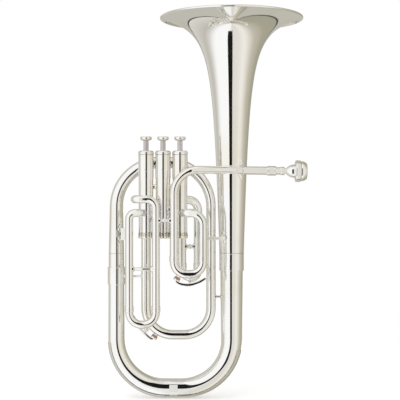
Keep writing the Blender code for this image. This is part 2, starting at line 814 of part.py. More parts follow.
def make_receiver():
    at = leadpipe_corner() + LEADPIPE_AXIS * (LEADPIPE_REACH + GAP)
    socket = RECEIVER_LENGTH - SHANK_DEPTH - GAP
    step = RECEIVER_LENGTH - RECEIVER_CUP_LENGTH
    profile = [
        (RECEIVER_CUP_R - CAP_CHAMFER, RECEIVER_LENGTH),
        (RECEIVER_CUP_R, RECEIVER_LENGTH - 2 * CAP_CHAMFER),
        (RECEIVER_CUP_R, step + 2 * CAP_CHAMFER),
        (RECEIVER_SLEEVE_R, step),
        (RECEIVER_SLEEVE_R, 0),
        (LEADPIPE_MOUTH_R - PIPE_WALL, 0),
        (LEADPIPE_MOUTH_R - PIPE_WALL, socket - GAP),
        (SHANK_END_R + SHANK_SLIP, socket),
        (SHANK_MOUTH_R + SHANK_SLIP, RECEIVER_LENGTH),
    ]
    turned("mouthpiece_receiver", profile, at, LEADPIPE_AXIS, sides=16)


def make_mouthpiece():
    """Turned in one piece: rim, cup, throat and backbore, and the shank that sits in the receiver."""
    at = leadpipe_corner() + LEADPIPE_AXIS * (LEADPIPE_REACH + RECEIVER_LENGTH - SHANK_DEPTH)
    mouth = SHANK_DEPTH
    top = mouth + MOUTHPIECE_STAND
    flange_low = mouth + MOUTHPIECE_FLANGE_LOW
    neck = mouth + MOUTHPIECE_NECK
    bead_high = mouth + MOUTHPIECE_BEAD_HIGH
    bead_low = mouth + MOUTHPIECE_BEAD_LOW
    outside = [(MOUTHPIECE_RIM_R * wide, top - deep) for wide, deep in MOUTHPIECE_DOME]
    outside += [
        (MOUTHPIECE_FLANGE_R, mouth + MOUTHPIECE_FLANGE_HIGH),
        (MOUTHPIECE_FLANGE_R, flange_low + CAP_CHAMFER),
        (MOUTHPIECE_FLANGE_R - CAP_CHAMFER, flange_low),
    ]
    bulb_z = flange_low - CAP_CHAMFER / 2
    for share in (0, 0.3, 0.6, 0.84, 1):
        radius = MOUTHPIECE_NECK_R + (MOUTHPIECE_BULB_R - MOUTHPIECE_NECK_R) * (1 - share ** 2.2)
        outside.append((radius, bulb_z + (neck - bulb_z) * share))
    outside += [
        (SHANK_MOUTH_R + COLLAR_LIP, bead_high),
        (SHANK_MOUTH_R + COLLAR_LIP, bead_low),
        (SHANK_MOUTH_R, bead_low - CAP_CHAMFER),
        (SHANK_MOUTH_R, mouth),
        (SHANK_END_R, 0),
    ]
    inside = [(SHANK_END_R - PIPE_WALL, 0), (MOUTHPIECE_THROAT_R, bead_high), (MOUTHPIECE_THROAT_R, neck)]
    for share in (0.12, 0.3, 0.6):
        widening = math.sin(share * math.pi / 2) ** 0.9
        radius = MOUTHPIECE_THROAT_R + (MOUTHPIECE_CUP_R - MOUTHPIECE_THROAT_R) * widening
        inside.append((radius, neck + (top - neck) * share))
    inside.append((MOUTHPIECE_CUP_R, top - 0.0012))
    turned("mouthpiece", outside + inside, at, LEADPIPE_AXIS)


# Slides


def make_outer(name, corners, radii, radius, casing=None, trim=None, ring=True):
    """A hollow outer tube, trimmed to the valve casing that it ends in, and drilled through its wall."""
    points = rounded(corners, radii)
    stations = remember(name, taper(points, radius, radius), TUBE_SIDES)
    bore = bar(name + "_bore", grown(stations, -PIPE_WALL, PIPE_WALL), None)
    body = bar(name, end_ring(stations, radius + COLLAR_LIP, COLLAR_LENGTH) if ring else stations)
    if casing:
        cut(body, trim)
        cut(casing, bore)
    return cut(body, bore)


def make_slide(name, left, right, out, radius, insert, bend_r):
    """A slide: two inner legs, the collars that meet the outer tubes, and the crook between them."""
    leg = radius - PIPE_WALL - SLIP
    collar = radius + COLLAR_LIP
    start = GAP + COLLAR_LENGTH + 2 * STEP
    depth = start + bend_r

    def side(mouth):
        return [
            (mouth - out * insert, leg),
            (mouth + out * GAP, leg),
            (mouth + out * (GAP + STEP), collar),
            (mouth + out * (GAP + COLLAR_LENGTH), collar),
        ]

    crook = rounded([left, left + out * depth, right + out * depth, right], [bend_r, bend_r])[1:-1]
    stations = side(left) + [(point, radius) for point in crook] + side(right)[::-1]
    slide = bar(name, stations)
    hang(name + "_joint", (left + right) / 2, slide)
    return slide


def make_main_slide(casing, trim):
    left = Vector((LEADPIPE_X, FRONT_Y, MAIN_MOUTH_Z))
    right = left + RIGHT * MAIN_SPREAD
    corner_x = valve_x(1) + (VALVE_Y - FRONT_Y) * math.tan(MAIN_PORT_ANGLE)
    corners = [
        right,
        (right.x, FRONT_Y, MAIN_PORT_Z),
        (corner_x, FRONT_Y, MAIN_PORT_Z),
        valve_axis(1, MAIN_PORT_Z),
    ]
    make_outer("main_slide_tube", corners, [MAIN_TOP_BEND_R, PORT_BEND_R], MAIN_R, casing, trim)
    return make_slide("main_slide", left, right, -UP, MAIN_R, MAIN_INSERT, MAIN_BEND_R)


def return_corners(axis):
    """Corners of a bend that comes along the front to the left, turns back and meets the valve axis."""
    way = Vector((math.sin(THIRD_HIGH_PORT_ANGLE), math.cos(THIRD_HIGH_PORT_ANGLE), 0))
    side = Vector((way.y, -way.x, 0)) * PORT_BEND_R
    straight = (axis.y + side.y - FRONT_Y - PORT_BEND_R) / way.y
    end = axis - way * straight
    setback = PORT_BEND_R * math.tan((math.pi / 2 + THIRD_HIGH_PORT_ANGLE) / 4)
    return [Vector((end.x + side.x - setback, FRONT_Y, axis.z)), end - way * setback, axis]


def make_third_slide(casing, trim):
    right = Vector((valve_x(3) + THIRD_RIGHT_OFFSET, FRONT_Y, THIRD_MOUTH_Z))
    left = right - RIGHT * THIRD_SPREAD
    corner_x = valve_x(3) - (VALVE_Y - FRONT_Y) * math.tan(THIRD_LOW_PORT_ANGLE)
    low = [
        left,
        (left.x, FRONT_Y, THIRD_LOW_PORT_Z),
        (corner_x, FRONT_Y, THIRD_LOW_PORT_Z),
        valve_axis(3, THIRD_LOW_PORT_Z),
    ]
    low_bends = [THIRD_LOW_BEND_R, PORT_BEND_R]
    make_outer("third_slide_tube_left", low, low_bends, THIRD_R, casing, trim)
    high = [right, (right.x, FRONT_Y, THIRD_HIGH_PORT_Z)] + return_corners(valve_axis(3, THIRD_HIGH_PORT_Z))
    high_bends = [THIRD_HIGH_BEND_R, PORT_BEND_R, PORT_BEND_R]
    make_outer("third_slide_tube_right", high, high_bends, THIRD_R, casing, trim)
    make_slide("third_slide", left, right, -UP, THIRD_R, THIRD_INSERT, THIRD_BEND_R)


def make_first_slide(casing, trim):
    """The short slide behind the first valve."""
    left = Vector((valve_x(1) + FIRST_LEFT_SHIFT, FIRST_Y, FIRST_MOUTH_Z))
    right = left + RIGHT * FIRST_SPREAD
    low = [left, (left.x, FIRST_Y, FIRST_LOW_PORT_Z), valve_axis(1, FIRST_LOW_PORT_Z)]
    make_outer("first_slide_tube_left", low, [FIRST_LOW_BEND_R], FIRST_R, casing, trim)
    high = [right, (right.x, FIRST_Y, FIRST_HIGH_PORT_Z), valve_axis(1, FIRST_HIGH_PORT_Z)]
    make_outer("first_slide_tube_right", high, [FIRST_HIGH_BEND_R], FIRST_R, casing, trim)
    make_slide("first_slide", left, right, -UP, FIRST_R, FIRST_INSERT, FIRST_BEND_R)


def make_second_slide(casing, trim):
    """The shortest slide, pointing backwards from the second valve, with a pull knob on its crook."""
    low = Vector((valve_x(2), SECOND_MOUTH_Y, SECOND_LOW_Z))
    high = low + UP * SECOND_SPREAD
    for name, mouth in (("second_slide_tube_low", low), ("second_slide_tube_high", high)):
        make_outer(name, [mouth, valve_axis(2, mouth.z)], [], SECOND_R, casing, trim)
    slide = make_slide("second_slide", low, high, BACK, SECOND_R, SECOND_INSERT, SECOND_BEND_R)
    crown = (low + high) / 2 + BACK * (GAP + COLLAR_LENGTH + SECOND_BEND_R)
    post = crown + BACK * (SECOND_R + KNOB_LENGTH / 2)
    stations = [
        (crown, ROD_R),
        (post, ROD_R),
        (post + BACK * STEP, KNOB_R),
        (crown + BACK * (SECOND_R + KNOB_LENGTH - STEP), KNOB_R),
        (crown + BACK * (SECOND_R + KNOB_LENGTH), KNOB_R * 0.8),
    ]
    join(slide, bar("pull_knob", stations, None))


def make_exit_tube(casing, trim):
    corners = [(exit_x(), 0, INNER_JOINT_Z + GAP / 2), (exit_x(), 0, EXIT_PORT_Z), valve_axis(3, EXIT_PORT_Z)]
    make_outer("exit_tube", corners, [EXIT_BEND_R], INNER_R, casing, trim, ring=False)


def make_between_casings(name, right_number, z, radius, casings, trims, hollow):
    """A short tube or a solid stay between two neighbouring casings."""
    right = valve_axis(right_number, z)
    left = valve_axis(right_number + 1, z)
    piece = bar(name, [(left, radius), (right, radius)])
    cut(piece, trims[right_number], trims[right_number + 1])
    if hollow:
        bore = bar(name + "_bore", [(left, radius - PIPE_WALL), (right, radius - PIPE_WALL)], None)
        cut(piece, bore)
        cut(casings[right_number], bore)
        cut(casings[right_number + 1], bore)


# Stays


def stay_stations(start, end, start_r, end_r, bead=True):
    """A thin rod between two axes, with a flange on each surface and a turned bead halfway."""
    way = (end - start).normalized()
    near = start + way * (start_r + FLANGE_THICKNESS)
    far = end - way * (end_r + FLANGE_THICKNESS)
    middle = (near + far) / 2
    stations = [(start, FLANGE_R), (near, FLANGE_R), (near + way * STEP * 4, ROD_R)]
    if bead:
        for along, radius in ((-1, ROD_R), (-0.4, BEAD_R), (0.4, BEAD_R), (1, ROD_R)):
            stations.append((middle + way * BEAD_R * along, radius))
    return stations + [(far - way * STEP * 4, ROD_R), (far, FLANGE_R), (end, FLANGE_R)]


def make_stay(name, start, end, start_r, end_r, trims, bead=True):
    return cut(bar(name, stay_stations(start, end, start_r, end_r, bead), sides=8), *trims)


def diamond(name, at, way, half_width, half_height, length):
    """A diamond-shaped prism from the point along the way, its long corners up and down."""
    mesh = bpy.data.meshes.new(name)
    work = bmesh.new()
    bmesh.ops.create_cone(work, cap_ends=True, segments=4, radius1=1, radius2=1, depth=length)
    side = way.cross(UP).normalized()
    frame = Matrix((side * half_width, UP * half_height, way)).transposed().to_4x4()
    bmesh.ops.transform(work, matrix=Matrix.Translation(at + way * length / 2) @ frame, verts=work.verts)
    bmesh.ops.recalc_face_normals(work, faces=work.faces)
    work.to_mesh(mesh)
    work.free()
    return place(name, mesh, None)


def add_plate(piece, name, at, way, half_width, half_height, skin):
    """Join a thin diamond plate that follows the tube whose axis passes through the point."""
    plate = diamond(name, at, way, half_width, half_height, LEG_SPACING / 4)
    boolean(plate, skin, "INTERSECT")
    return join(piece, plate)


def make_stays():
    inner_leg = Vector((INNER_LEG_X, 0, 0))
    exit_leg = Vector((exit_x(), 0, 0))
    branch = Vector((BRANCH_X, 0, 0))
    bell = Vector((BELL_X, 0, 0))
    third_right = Vector((valve_x(3) + THIRD_RIGHT_OFFSET, FRONT_Y, 0))
    third_left = third_right - RIGHT * THIRD_SPREAD
    leadpipe = Vector((LEADPIPE_X, FRONT_Y, 0))
    first_left = Vector((valve_x(1) + FIRST_LEFT_SHIFT, FIRST_Y, 0))
    first_right = first_left + RIGHT * FIRST_SPREAD
    ferrule_r = BRANCH_LOW_R + 2 * GAP + PIPE_WALL
    ferrule = drum("ferrule_clearance", branch, UP, ferrule_r + GAP, BELL_RIM_Z, 16)
    bow_r = (BOW_RIGHT_R + bow_top_radius()) / 2

    lift = UP * EXIT_STAY_Z
    trims = (ferrule, clearance("inner_bow"))
    make_stay("exit_stay", branch + lift, exit_leg + lift, ferrule_r, INNER_R, trims)
    lift = UP * BOW_STAY_Z
    trims = (clearance("inner_bow"), clearance("bottom_bow"))
    make_stay("bow_stay", inner_leg + lift, bell + lift, INNER_R, bow_r, trims, bead=False)
    lift = UP * THIRD_STAY_Z
    trims = (clearance("third_slide_tube_left"), clearance("third_slide_tube_right"))
    make_stay("third_slide_stay", third_left + lift, third_right + lift, THIRD_R, THIRD_R, trims)
    lift = UP * LEADPIPE_STAY_Z
    trims = (clearance("third_slide_tube_right"), clearance("leadpipe"))
    make_stay("leadpipe_stay", third_right + lift, leadpipe + lift, THIRD_R, LEADPIPE_R, trims)
    lift = UP * FIRST_STAY_Z
    trims = (clearance("first_slide_tube_left"), clearance("first_slide_tube_right"))
    make_stay("first_slide_stay", first_left + lift, first_right + lift, FIRST_R, FIRST_R, trims)

    core = bell_core("bell_clearance", GAP)
    skin = bell_core("bell_skin", GAP + PLATE_THICKNESS)
    start = Vector((LEADPIPE_X + MAIN_SPREAD, FRONT_Y, BELL_STAY_Z))
    end = bell + UP * BELL_STAY_Z
    reach = bell_radius(BELL_RIM_Z - BELL_STAY_Z)
    piece = bar("bell_stay", stay_stations(start, end, MAIN_R, reach), sides=8)
    way = (start - end).normalized()
    add_plate(piece, "bell_plate", end, way, BELL_PLATE_HALF_WIDTH, BELL_PLATE_HALF_HEIGHT, skin)
    cut(piece, clearance("main_slide_tube"), core)

    reach = bell_radius(BELL_RIM_Z - LEADPIPE_CORNER_Z)
    way = Vector((math.sin(POST_PLATE_ANGLE), -math.cos(POST_PLATE_ANGLE), 0))
    aim = bell + way * reach + RIGHT * POST_AIM_SHIFT
    start = leadpipe_corner() + LEADPIPE_AXIS * ((aim.x - LEADPIPE_X) / LEADPIPE_AXIS.x)
    end = Vector((aim.x - POST_AIM_SHIFT, 0, start.z))
    stations = stay_stations(start, end, RECEIVER_SLEEVE_R, reach * 0.9, bead=False)
    piece = bar("leadpipe_post", stations, sides=8)
    at = bell + UP * start.z
    add_plate(piece, "post_plate", at, way, POST_PLATE_HALF_WIDTH, POST_PLATE_HALF_HEIGHT, skin)
    receiver_at = leadpipe_corner() + LEADPIPE_AXIS * (LEADPIPE_REACH + GAP)
    sleeve_r = RECEIVER_SLEEVE_R + GAP
    sleeve_at = receiver_at - LEADPIPE_AXIS * FLANGE_R
    sleeve = drum("receiver_clearance", sleeve_at, LEADPIPE_AXIS, sleeve_r, RECEIVER_LENGTH, 16)
    cut(piece, sleeve, core)


# Lyre holder


def block(name, centre, size, look=None):
    mesh = bpy.data.meshes.new(name)
    work = bmesh.new()
    bmesh.ops.create_cube(work, size=1)
    bmesh.ops.scale(work, vec=size, verts=work.verts)
    bmesh.ops.translate(work, vec=centre, verts=work.verts)
    work.to_mesh(mesh)
    work.free()
    return place(name, mesh, look)


def make_lyre_holder():
    axis = Vector((BRANCH_X, 0, LYRE_Z))
    centre = axis + Vector((LYRE_OUT_X, -LYRE_OUT_Y, 0))
    way = (centre - axis).normalized()
    holder = block("lyre_holder", centre, (LYRE_WIDTH, LYRE_DEPTH, LYRE_HEIGHT), SILVER)
    foot = bar("lyre_foot", [(axis, LYRE_FOOT_R), (centre, LYRE_FOOT_R)], None, 8)
    stations, sides = ROUTES["upper_bow"]
    skin = bar("branch_skin", grown(stations, GAP + PLATE_THICKNESS), None, sides)
    join(holder, foot)
    add_plate(holder, "lyre_plate", axis, way, LYRE_PLATE_HALF_WIDTH, LYRE_PLATE_HALF_HEIGHT, skin)
    socket = block("lyre_socket", centre, (LYRE_SOCKET, LYRE_SOCKET, 2 * LYRE_HEIGHT))
    hole_start = centre - RIGHT * LYRE_WIDTH
    hole = drum("lyre_screw_hole", hole_start, RIGHT, LYRE_SCREW_R + GAP, LYRE_WIDTH, 10)
    cut(holder, clearance("upper_bow"), socket, hole)
    knob_at = centre - RIGHT * (LYRE_WIDTH / 2 + GAP)
    shank = LYRE_WIDTH / 2 - LYRE_SOCKET / 2 + CAP_CHAMFER
    profile = [
        (0, LYRE_KNOB_LENGTH),
        (LYRE_KNOB_R - CAP_CHAMFER, LYRE_KNOB_LENGTH),
        (LYRE_KNOB_R, LYRE_KNOB_LENGTH - CAP_CHAMFER),
        (LYRE_KNOB_R, LYRE_KNOB_LENGTH / 2),
        (LYRE_KNOB_R * 0.6, LYRE_KNOB_LENGTH / 4),
        (LYRE_KNOB_R * 0.6, 0),
        (LYRE_SCREW_R, 0),
        (LYRE_SCREW_R, -shank),
        (0, -shank),
    ]
    turned("lyre_screw", profile, knob_at, -RIGHT, sides=12, ring=False)


# Water keys


def make_water_key(number, tube, centre, bend_r, tube_r, cork_angle, root, out, waypoints, touch):
    """A spring-closed key: nipple and lugs on the tube, and a lever with its cup and cork on the pivot."""
    way = Vector((math.cos(cork_angle), 0, math.sin(cork_angle)))
    surface = centre + way * (bend_r + tube_r)
    nipple_top = surface + way * NIPPLE_HEIGHT
    nipple = bar(f"nipple_{number}", [(centre + way * bend_r, NIPPLE_R), (nipple_top, NIPPLE_R)], None)
    pivot = root + out * (tube_r + PIVOT_STAND)
    lug_y = BACK * (BARREL_LENGTH / 2 + GAP + LUG_R)
    lugs = []
    for sign, side in ((-1, "front"), (1, "back")):
        foot = root + out * tube_r / 2 + lug_y * sign
        head = pivot + out * LUG_R + lug_y * sign
        lugs.append(bar(f"lug_{number}_{side}", [(foot, LUG_R), (head, LUG_R)], None, 8))
    pin = bar(f"pivot_{number}", [(pivot - lug_y * 1.05, PIVOT_R), (pivot + lug_y * 1.05, PIVOT_R)], None, 8)
    join(tube, nipple, *lugs, pin)

    cork_start = nipple_top + way * GAP
    cork_end = cork_start + way * CORK_THICKNESS
    cork = rod(f"cork_{number}", [(cork_start, CORK_R), (cork_end, CORK_R)], CORK, 14)
    cup_start = cork_end + way * GAP
    cup_end = cup_start + way * CUP_WALL
    cup = bar(f"cup_{number}", [(cup_start, CORK_R), (cup_end, CORK_R)], None)
    points = [cup_start + way * (LEVER_R + STEP)] + waypoints + [pivot] + touch
    stations = [(point, LEVER_R) for point in points[:-1]]
    stations += [(points[-1] - (points[-1] - points[-2]) * 0.35, TOUCH_R * 0.8), (points[-1], TOUCH_R)]
    lever = bar(f"water_key_{number}", stations, sides=8)
    half = BACK * BARREL_LENGTH / 2
    barrel = bar(f"barrel_{number}", [(pivot - half, BARREL_R), (pivot + half, BARREL_R)], None, 8)
    ends = [(pivot - half * 1.5, PIVOT_R + GAP), (pivot + half * 1.5, PIVOT_R + GAP)]
    hole = bar(f"pivot_hole_{number}", ends, None, 8)
    join(lever, cup, barrel)
    cut(lever, hole)
    hang(f"water_key_{number}_joint", pivot, lever, cork)


def way_points(origin, pairs):
    return [origin + Vector((x, 0, z)) for x, z in pairs]


def make_water_keys(main_slide, inner_bow):
    start = GAP + COLLAR_LENGTH + 2 * STEP
    centre = Vector((LEADPIPE_X + MAIN_BEND_R, FRONT_Y, MAIN_MOUTH_Z - start))
    low = centre - UP * MAIN_BEND_R
    root = low + RIGHT * KEY_1_ROOT_SHIFT
    lever = way_points(low, KEY_1_LEVER)
    touch = way_points(low, KEY_1_TOUCH)
    make_water_key(1, main_slide, centre, MAIN_BEND_R, MAIN_R, KEY_1_CORK_ANGLE, root, -UP, lever, touch)
    centre = Vector((exit_x() + INNER_BOW_BEND_R, 0, INNER_BOW_BOTTOM_Z + INNER_BOW_BEND_R))
    out = Vector((math.cos(KEY_2_ROOT_ANGLE), 0, math.sin(KEY_2_ROOT_ANGLE)))
    root = centre + out * INNER_BOW_BEND_R
    lever = way_points(centre, KEY_2_LEVER)
    touch = way_points(centre, KEY_2_TOUCH)
    make_water_key(2, inner_bow, centre, INNER_BOW_BEND_R, INNER_R, KEY_2_CORK_ANGLE, root, out, lever, touch)


def main():
    make_bell()
    make_bell_ferrule()
    make_bottom_bow()
    make_left_branch()
    make_upper_bow()
    inner_bow, inner_bore = make_inner_bow()
    casings = {}
    trims = {}
    for number in (1, 2, 3):
        casings[number], trims[number] = make_casing(number)
        make_caps(number)
        make_button(number)
        make_spring(number)
    make_exit_tube(casings[3], trims[3])
    make_between_casings("knuckle_1_2", 1, KNUCKLE_1_2_Z, KNUCKLE_R, casings, trims, hollow=True)
    make_between_casings("knuckle_2_3", 2, KNUCKLE_2_3_Z, KNUCKLE_R, casings, trims, hollow=True)
    make_between_casings("casing_stay_1_2", 1, CASING_STAY_Z, CASING_STAY_R, casings, trims, hollow=False)
    make_between_casings("casing_stay_2_3", 2, CASING_STAY_Z, CASING_STAY_R, casings, trims, hollow=False)
    left = math.pi
    back = math.pi / 2
    front_right = MAIN_PORT_ANGLE - back
    back_right = math.atan2(FIRST_Y - VALVE_Y, FIRST_LEFT_SHIFT + FIRST_SPREAD)
    front_left = -back - THIRD_LOW_PORT_ANGLE
    down = VALVE_TRAVEL
    make_piston(1, [
        [(front_right, MAIN_PORT_Z), (left, KNUCKLE_1_2_Z)],
        [(front_right, MAIN_PORT_Z + down), (back_right, FIRST_HIGH_PORT_Z + down)],
    ])
    make_piston(2, [
        [(0, KNUCKLE_1_2_Z), (left, KNUCKLE_2_3_Z)],
        [(0, KNUCKLE_1_2_Z + down), (back, SECOND_LOW_Z + SECOND_SPREAD + down)],
    ])
    make_piston(3, [
        [(0, KNUCKLE_2_3_Z), (back, EXIT_PORT_Z)],
        [(0, KNUCKLE_2_3_Z + down), (front_left, THIRD_LOW_PORT_Z + down)],
    ])
    make_leadpipe()
    make_receiver()
    make_mouthpiece()
    main_slide = make_main_slide(casings[1], trims[1])
    make_third_slide(casings[3], trims[3])
    make_first_slide(casings[1], trims[1])
    make_second_slide(casings[2], trims[2])
    make_stays()
    make_lyre_holder()
    make_water_keys(main_slide, inner_bow)
    cut(inner_bow, inner_bore)


main()
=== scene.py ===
# %% [markdown]
# # A silver alto horn, piece by piece
#
# The horn is a long coil of tube. A mouthpiece starts the sound, three piston valves lengthen the path
# with extra slides, and a wide bell lets the sound out upwards. The imported CAD model brings the frame:
# every piece keeps its place and the body that it moves with. This lesson makes the smooth, dressed
# pieces that stand for the plain CAD ones. First the frame is loaded.

# %% Load the frame
import math

import bmesh
import bpy
from mathutils import Matrix, Vector
from mathutils.geometry import interpolate_bezier


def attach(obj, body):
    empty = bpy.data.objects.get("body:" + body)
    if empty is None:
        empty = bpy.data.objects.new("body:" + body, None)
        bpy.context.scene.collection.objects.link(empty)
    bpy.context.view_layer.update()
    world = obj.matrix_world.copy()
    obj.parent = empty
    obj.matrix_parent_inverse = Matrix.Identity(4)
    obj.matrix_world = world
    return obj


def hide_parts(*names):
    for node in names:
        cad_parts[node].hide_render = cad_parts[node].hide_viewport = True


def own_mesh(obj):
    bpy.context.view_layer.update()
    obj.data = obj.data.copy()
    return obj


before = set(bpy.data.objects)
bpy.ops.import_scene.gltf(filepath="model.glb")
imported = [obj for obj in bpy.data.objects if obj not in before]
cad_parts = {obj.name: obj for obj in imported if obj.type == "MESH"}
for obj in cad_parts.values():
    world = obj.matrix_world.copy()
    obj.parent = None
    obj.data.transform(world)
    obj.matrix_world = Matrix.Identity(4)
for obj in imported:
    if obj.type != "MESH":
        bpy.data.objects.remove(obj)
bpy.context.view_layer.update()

# %% [markdown]
# ## Sizes and directions
#
# The bench drawing is in millimetres, because a tube wall of 0.6 is easier to read than 0.0006. Every
# piece is scaled to metres once, at the moment when it becomes an object.

# %% Units
MM = 0.001
UP = Vector((0, 0, 1))
RIGHT = Vector((1, 0, 0))
BACK = Vector((0, 1, 0))
WELD = 0.002
SHARP_EDGE = math.radians(32)
TUBE_WALL = 0.6
INNER_R = 6.8
FIRST_R = 6.0
MAIN_R = 5.9
SLIM_R = 5.6


def spot(x, y, z):
    return Vector((x, y, z))


# %% [markdown]
# ## Turning on the lathe
#
# Caps, buttons, the bell and the mouthpiece are turned or spun in a workshop, and so they are here: half
# of the outline is drawn as a few vertices, and the spin operator carries it round the axis. A full spin
# merges its seam, and the doubles on the axis are welded, so the skin is closed before its normals are
# worked out.

# %% Lathe
def lathe(profile, segments=64, at=(0, 0, 0), way=UP):
    """Spin (radius, height) points about the axis; a profile that starts off the axis is a closed ring."""
    bm = bmesh.new()
    line = [bm.verts.new((radius, 0, height)) for radius, height in profile]
    edges = [bm.edges.new(pair) for pair in zip(line, line[1:])]
    if profile[0][0] > 0:
        edges.append(bm.edges.new((line[-1], line[0])))
    bmesh.ops.spin(
        bm,
        geom=line + edges,
        cent=(0, 0, 0),
        axis=UP,
        angle=math.tau,
        steps=segments,
        use_merge=True,
    )
    bmesh.ops.remove_doubles(bm, verts=bm.verts, dist=WELD)
    bmesh.ops.recalc_face_normals(bm, faces=bm.faces)
    turn = UP.rotation_difference(Vector(way)).to_matrix().to_4x4()
    bmesh.ops.transform(bm, matrix=Matrix.Translation(at) @ turn, verts=bm.verts)
    return bm


# %% [markdown]
# A corner that a maker has broken with a file catches a thin line of light. The profile's own corners are
# eased before turning, which costs a few points instead of a bevel on every ring of faces. Where a form
# swells gently, as on a button, a curve is laid through a few points.

# %% Eased corners and soft curves
def eased(profile, size=0.3, steps=3):
    """Round every clear corner of a profile with a small curve."""
    points = [Vector(point) for point in profile]
    closed = profile[0][0] > 0
    result = []
    for i, corner in enumerate(points):
        if not closed and i in (0, len(points) - 1):
            result.append(tuple(corner))
            continue
        before = points[i - 1] - corner
        after = points[(i + 1) % len(points)] - corner
        if before.angle(-after, 0) < math.radians(20):
            result.append(tuple(corner))
            continue
        cut = min(size, before.length * 0.4, after.length * 0.4)
        start = corner + before.normalized() * cut
        end = corner + after.normalized() * cut
        handle = cut * 0.55
        toward = start - before.normalized() * handle
        away = end - after.normalized() * handle
        result += [tuple(point) for point in interpolate_bezier(start, toward, away, end, steps + 1)]
    return result


def smooth_line(points, per_span):
    """A soft curve through the points, made of joined Bezier spans."""
    points = [Vector(point) for point in points]
    slopes = [(after - before) / 6 for before, after in zip([points[0]] + points, points[1:] + [points[-1]])]
    line = []
    for here, there, leave, arrive in zip(points, points[1:], slopes, slopes[1:]):
        line += interpolate_bezier(here, here + leave, there - arrive, there, per_span + 1)[:-1]
    return [tuple(point) for point in line + [points[-1]]]


# %% [markdown]
# ## Bending tube
#
# A tube is bent round a former, so its middle line is straight runs joined by arcs. The line's points
# are worked out first. Then a ring of edges is extruded from point to point, turning no more than the
# line turns, and a hollow tube goes back along the same line with the bore's radius. This gives even
# quads, where a curve object's bevel would need its own clean-up.

# %% Routes
BEND_STEP = math.radians(5)


def rounded(corners, radii):
    """Points of straight runs through the corners, each inner corner bent to its radius."""
    corners = [Vector(corner) for corner in corners]
    points = [corners[0]]
    for before, corner, after, radius in zip(corners, corners[1:], corners[2:], radii):
        arrive = (corner - before).normalized()
        leave = (after - corner).normalized()
        turn = arrive.angle(leave)
        normal = arrive.cross(leave).normalized()
        start = corner - arrive * radius * math.tan(turn / 2)
        centre = start + normal.cross(arrive) * radius
        steps = max(4, math.ceil(turn / BEND_STEP))
        for i in range(steps + 1):
            point = centre + Matrix.Rotation(turn * i / steps, 3, normal) @ (start - centre)
            if (point - points[-1]).length > WELD:
                points.append(point)
    points.append(corners[-1])
    return points


def taper(points, first, last):
    """(point, radius) stations whose radius changes evenly with the length."""
    lengths = [0.0]
    for here, there in zip(points, points[1:]):
        lengths.append(lengths[-1] + (there - here).length)
    return [(point, first + (last - first) * at / lengths[-1]) for point, at in zip(points, lengths)]


def stepped_taper(points, marks):
    """Stations that taper evenly between marks, each a point's number and its radius."""
    stations = []
    for (i, first), (j, last) in zip(marks, marks[1:]):
        part = taper(points[i:j + 1], first, last)
        stations += part[1:] if stations else part
    return stations


# %% Rings along a route
def ring_frames(points, side):
    """One matrix per point, its Z along the route and its X carried along without twisting."""
    ways = [(there - here).normalized() for here, there in zip(points, points[1:])]
    tangents = [ways[0]] + [(a + b).normalized() for a, b in zip(ways, ways[1:])] + [ways[-1]]
    if abs(side.dot(tangents[0])) > 0.9:
        side = RIGHT
    side = (side - tangents[0] * side.dot(tangents[0])).normalized()
    before = tangents[0]
    frames = []
    for point, tangent in zip(points, tangents):
        side = before.rotation_difference(tangent) @ side
        before = tangent
        stand = Matrix((side, tangent.cross(side), tangent)).transposed().to_4x4()
        stand.translation = point
        frames.append(stand)
    return frames


def run_ring(bm, edges, place, stops):
    """Extrude a ring of edges from one place to each of the stops and give the last ring."""
    for stop in stops:
        made = bmesh.ops.extrude_edge_only(bm, edges=edges)["geom"]
        ring = [item for item in made if isinstance(item, bmesh.types.BMVert)]
        edges = [item for item in made if isinstance(item, bmesh.types.BMEdge) and item.is_boundary]
        bmesh.ops.transform(bm, matrix=stop @ place.inverted(), verts=ring)
        place = stop
    return edges


def swept(stations, segments=32, side=BACK, wall=0.0, outline=None):
    """A round bar through (point, radius) stations, a tube if it has a wall, or a bar of any outline."""
    radii = [radius for _, radius in stations]
    stands = ring_frames([Vector(point) for point, _ in stations], side)
    outer = [at @ Matrix.Diagonal((r, r, 1, 1)) for at, r in zip(stands, radii)]
    bm = bmesh.new()
    if outline:
        corners = [bm.verts.new((x, y, 0)) for x, y in outline]
        for pair in zip(corners, corners[1:] + corners[:1]):
            bm.edges.new(pair)
    else:
        bmesh.ops.create_circle(bm, segments=segments, radius=1)
    bmesh.ops.transform(bm, matrix=outer[0], verts=bm.verts)
    first = bm.edges[:]
    last = run_ring(bm, first, outer[0], outer[1:])
    if wall:
        inner = [at @ Matrix.Diagonal((r - wall, r - wall, 1, 1)) for at, r in zip(stands, radii)]
        last = run_ring(bm, last, outer[-1], inner[::-1])
        bmesh.ops.bridge_loops(bm, edges=first + last)
    else:
        bmesh.ops.edgeloop_fill(bm, edges=first)
        bmesh.ops.edgeloop_fill(bm, edges=last)
    bmesh.ops.recalc_face_normals(bm, faces=bm.faces)
    return bm


# %% [markdown]
# ## Objects and cuts
#
# Two helpers put data and finished shapes into the scene as objects that stand at the origin.
#
# A brazed joint needs a saddle: the end of a tube is filed until it fits the round wall that it meets.
# Here the wall's drum is taken away from the tube with an exact Boolean on two helper objects, whose
# result is read back as mesh and which are then removed.

# %% Objects and carving
def add_object(name, data):
    """Put data into the scene as an object at the origin."""
    made = bpy.data.objects.new(name, data)
    bpy.context.scene.collection.objects.link(made)
    return made


def add_mesh_object(name, bm):
    """Turn a finished shape into a mesh object."""
    mesh = bpy.data.meshes.new(name)
    bm.to_mesh(mesh)
    bm.free()
    return add_object(name, mesh)


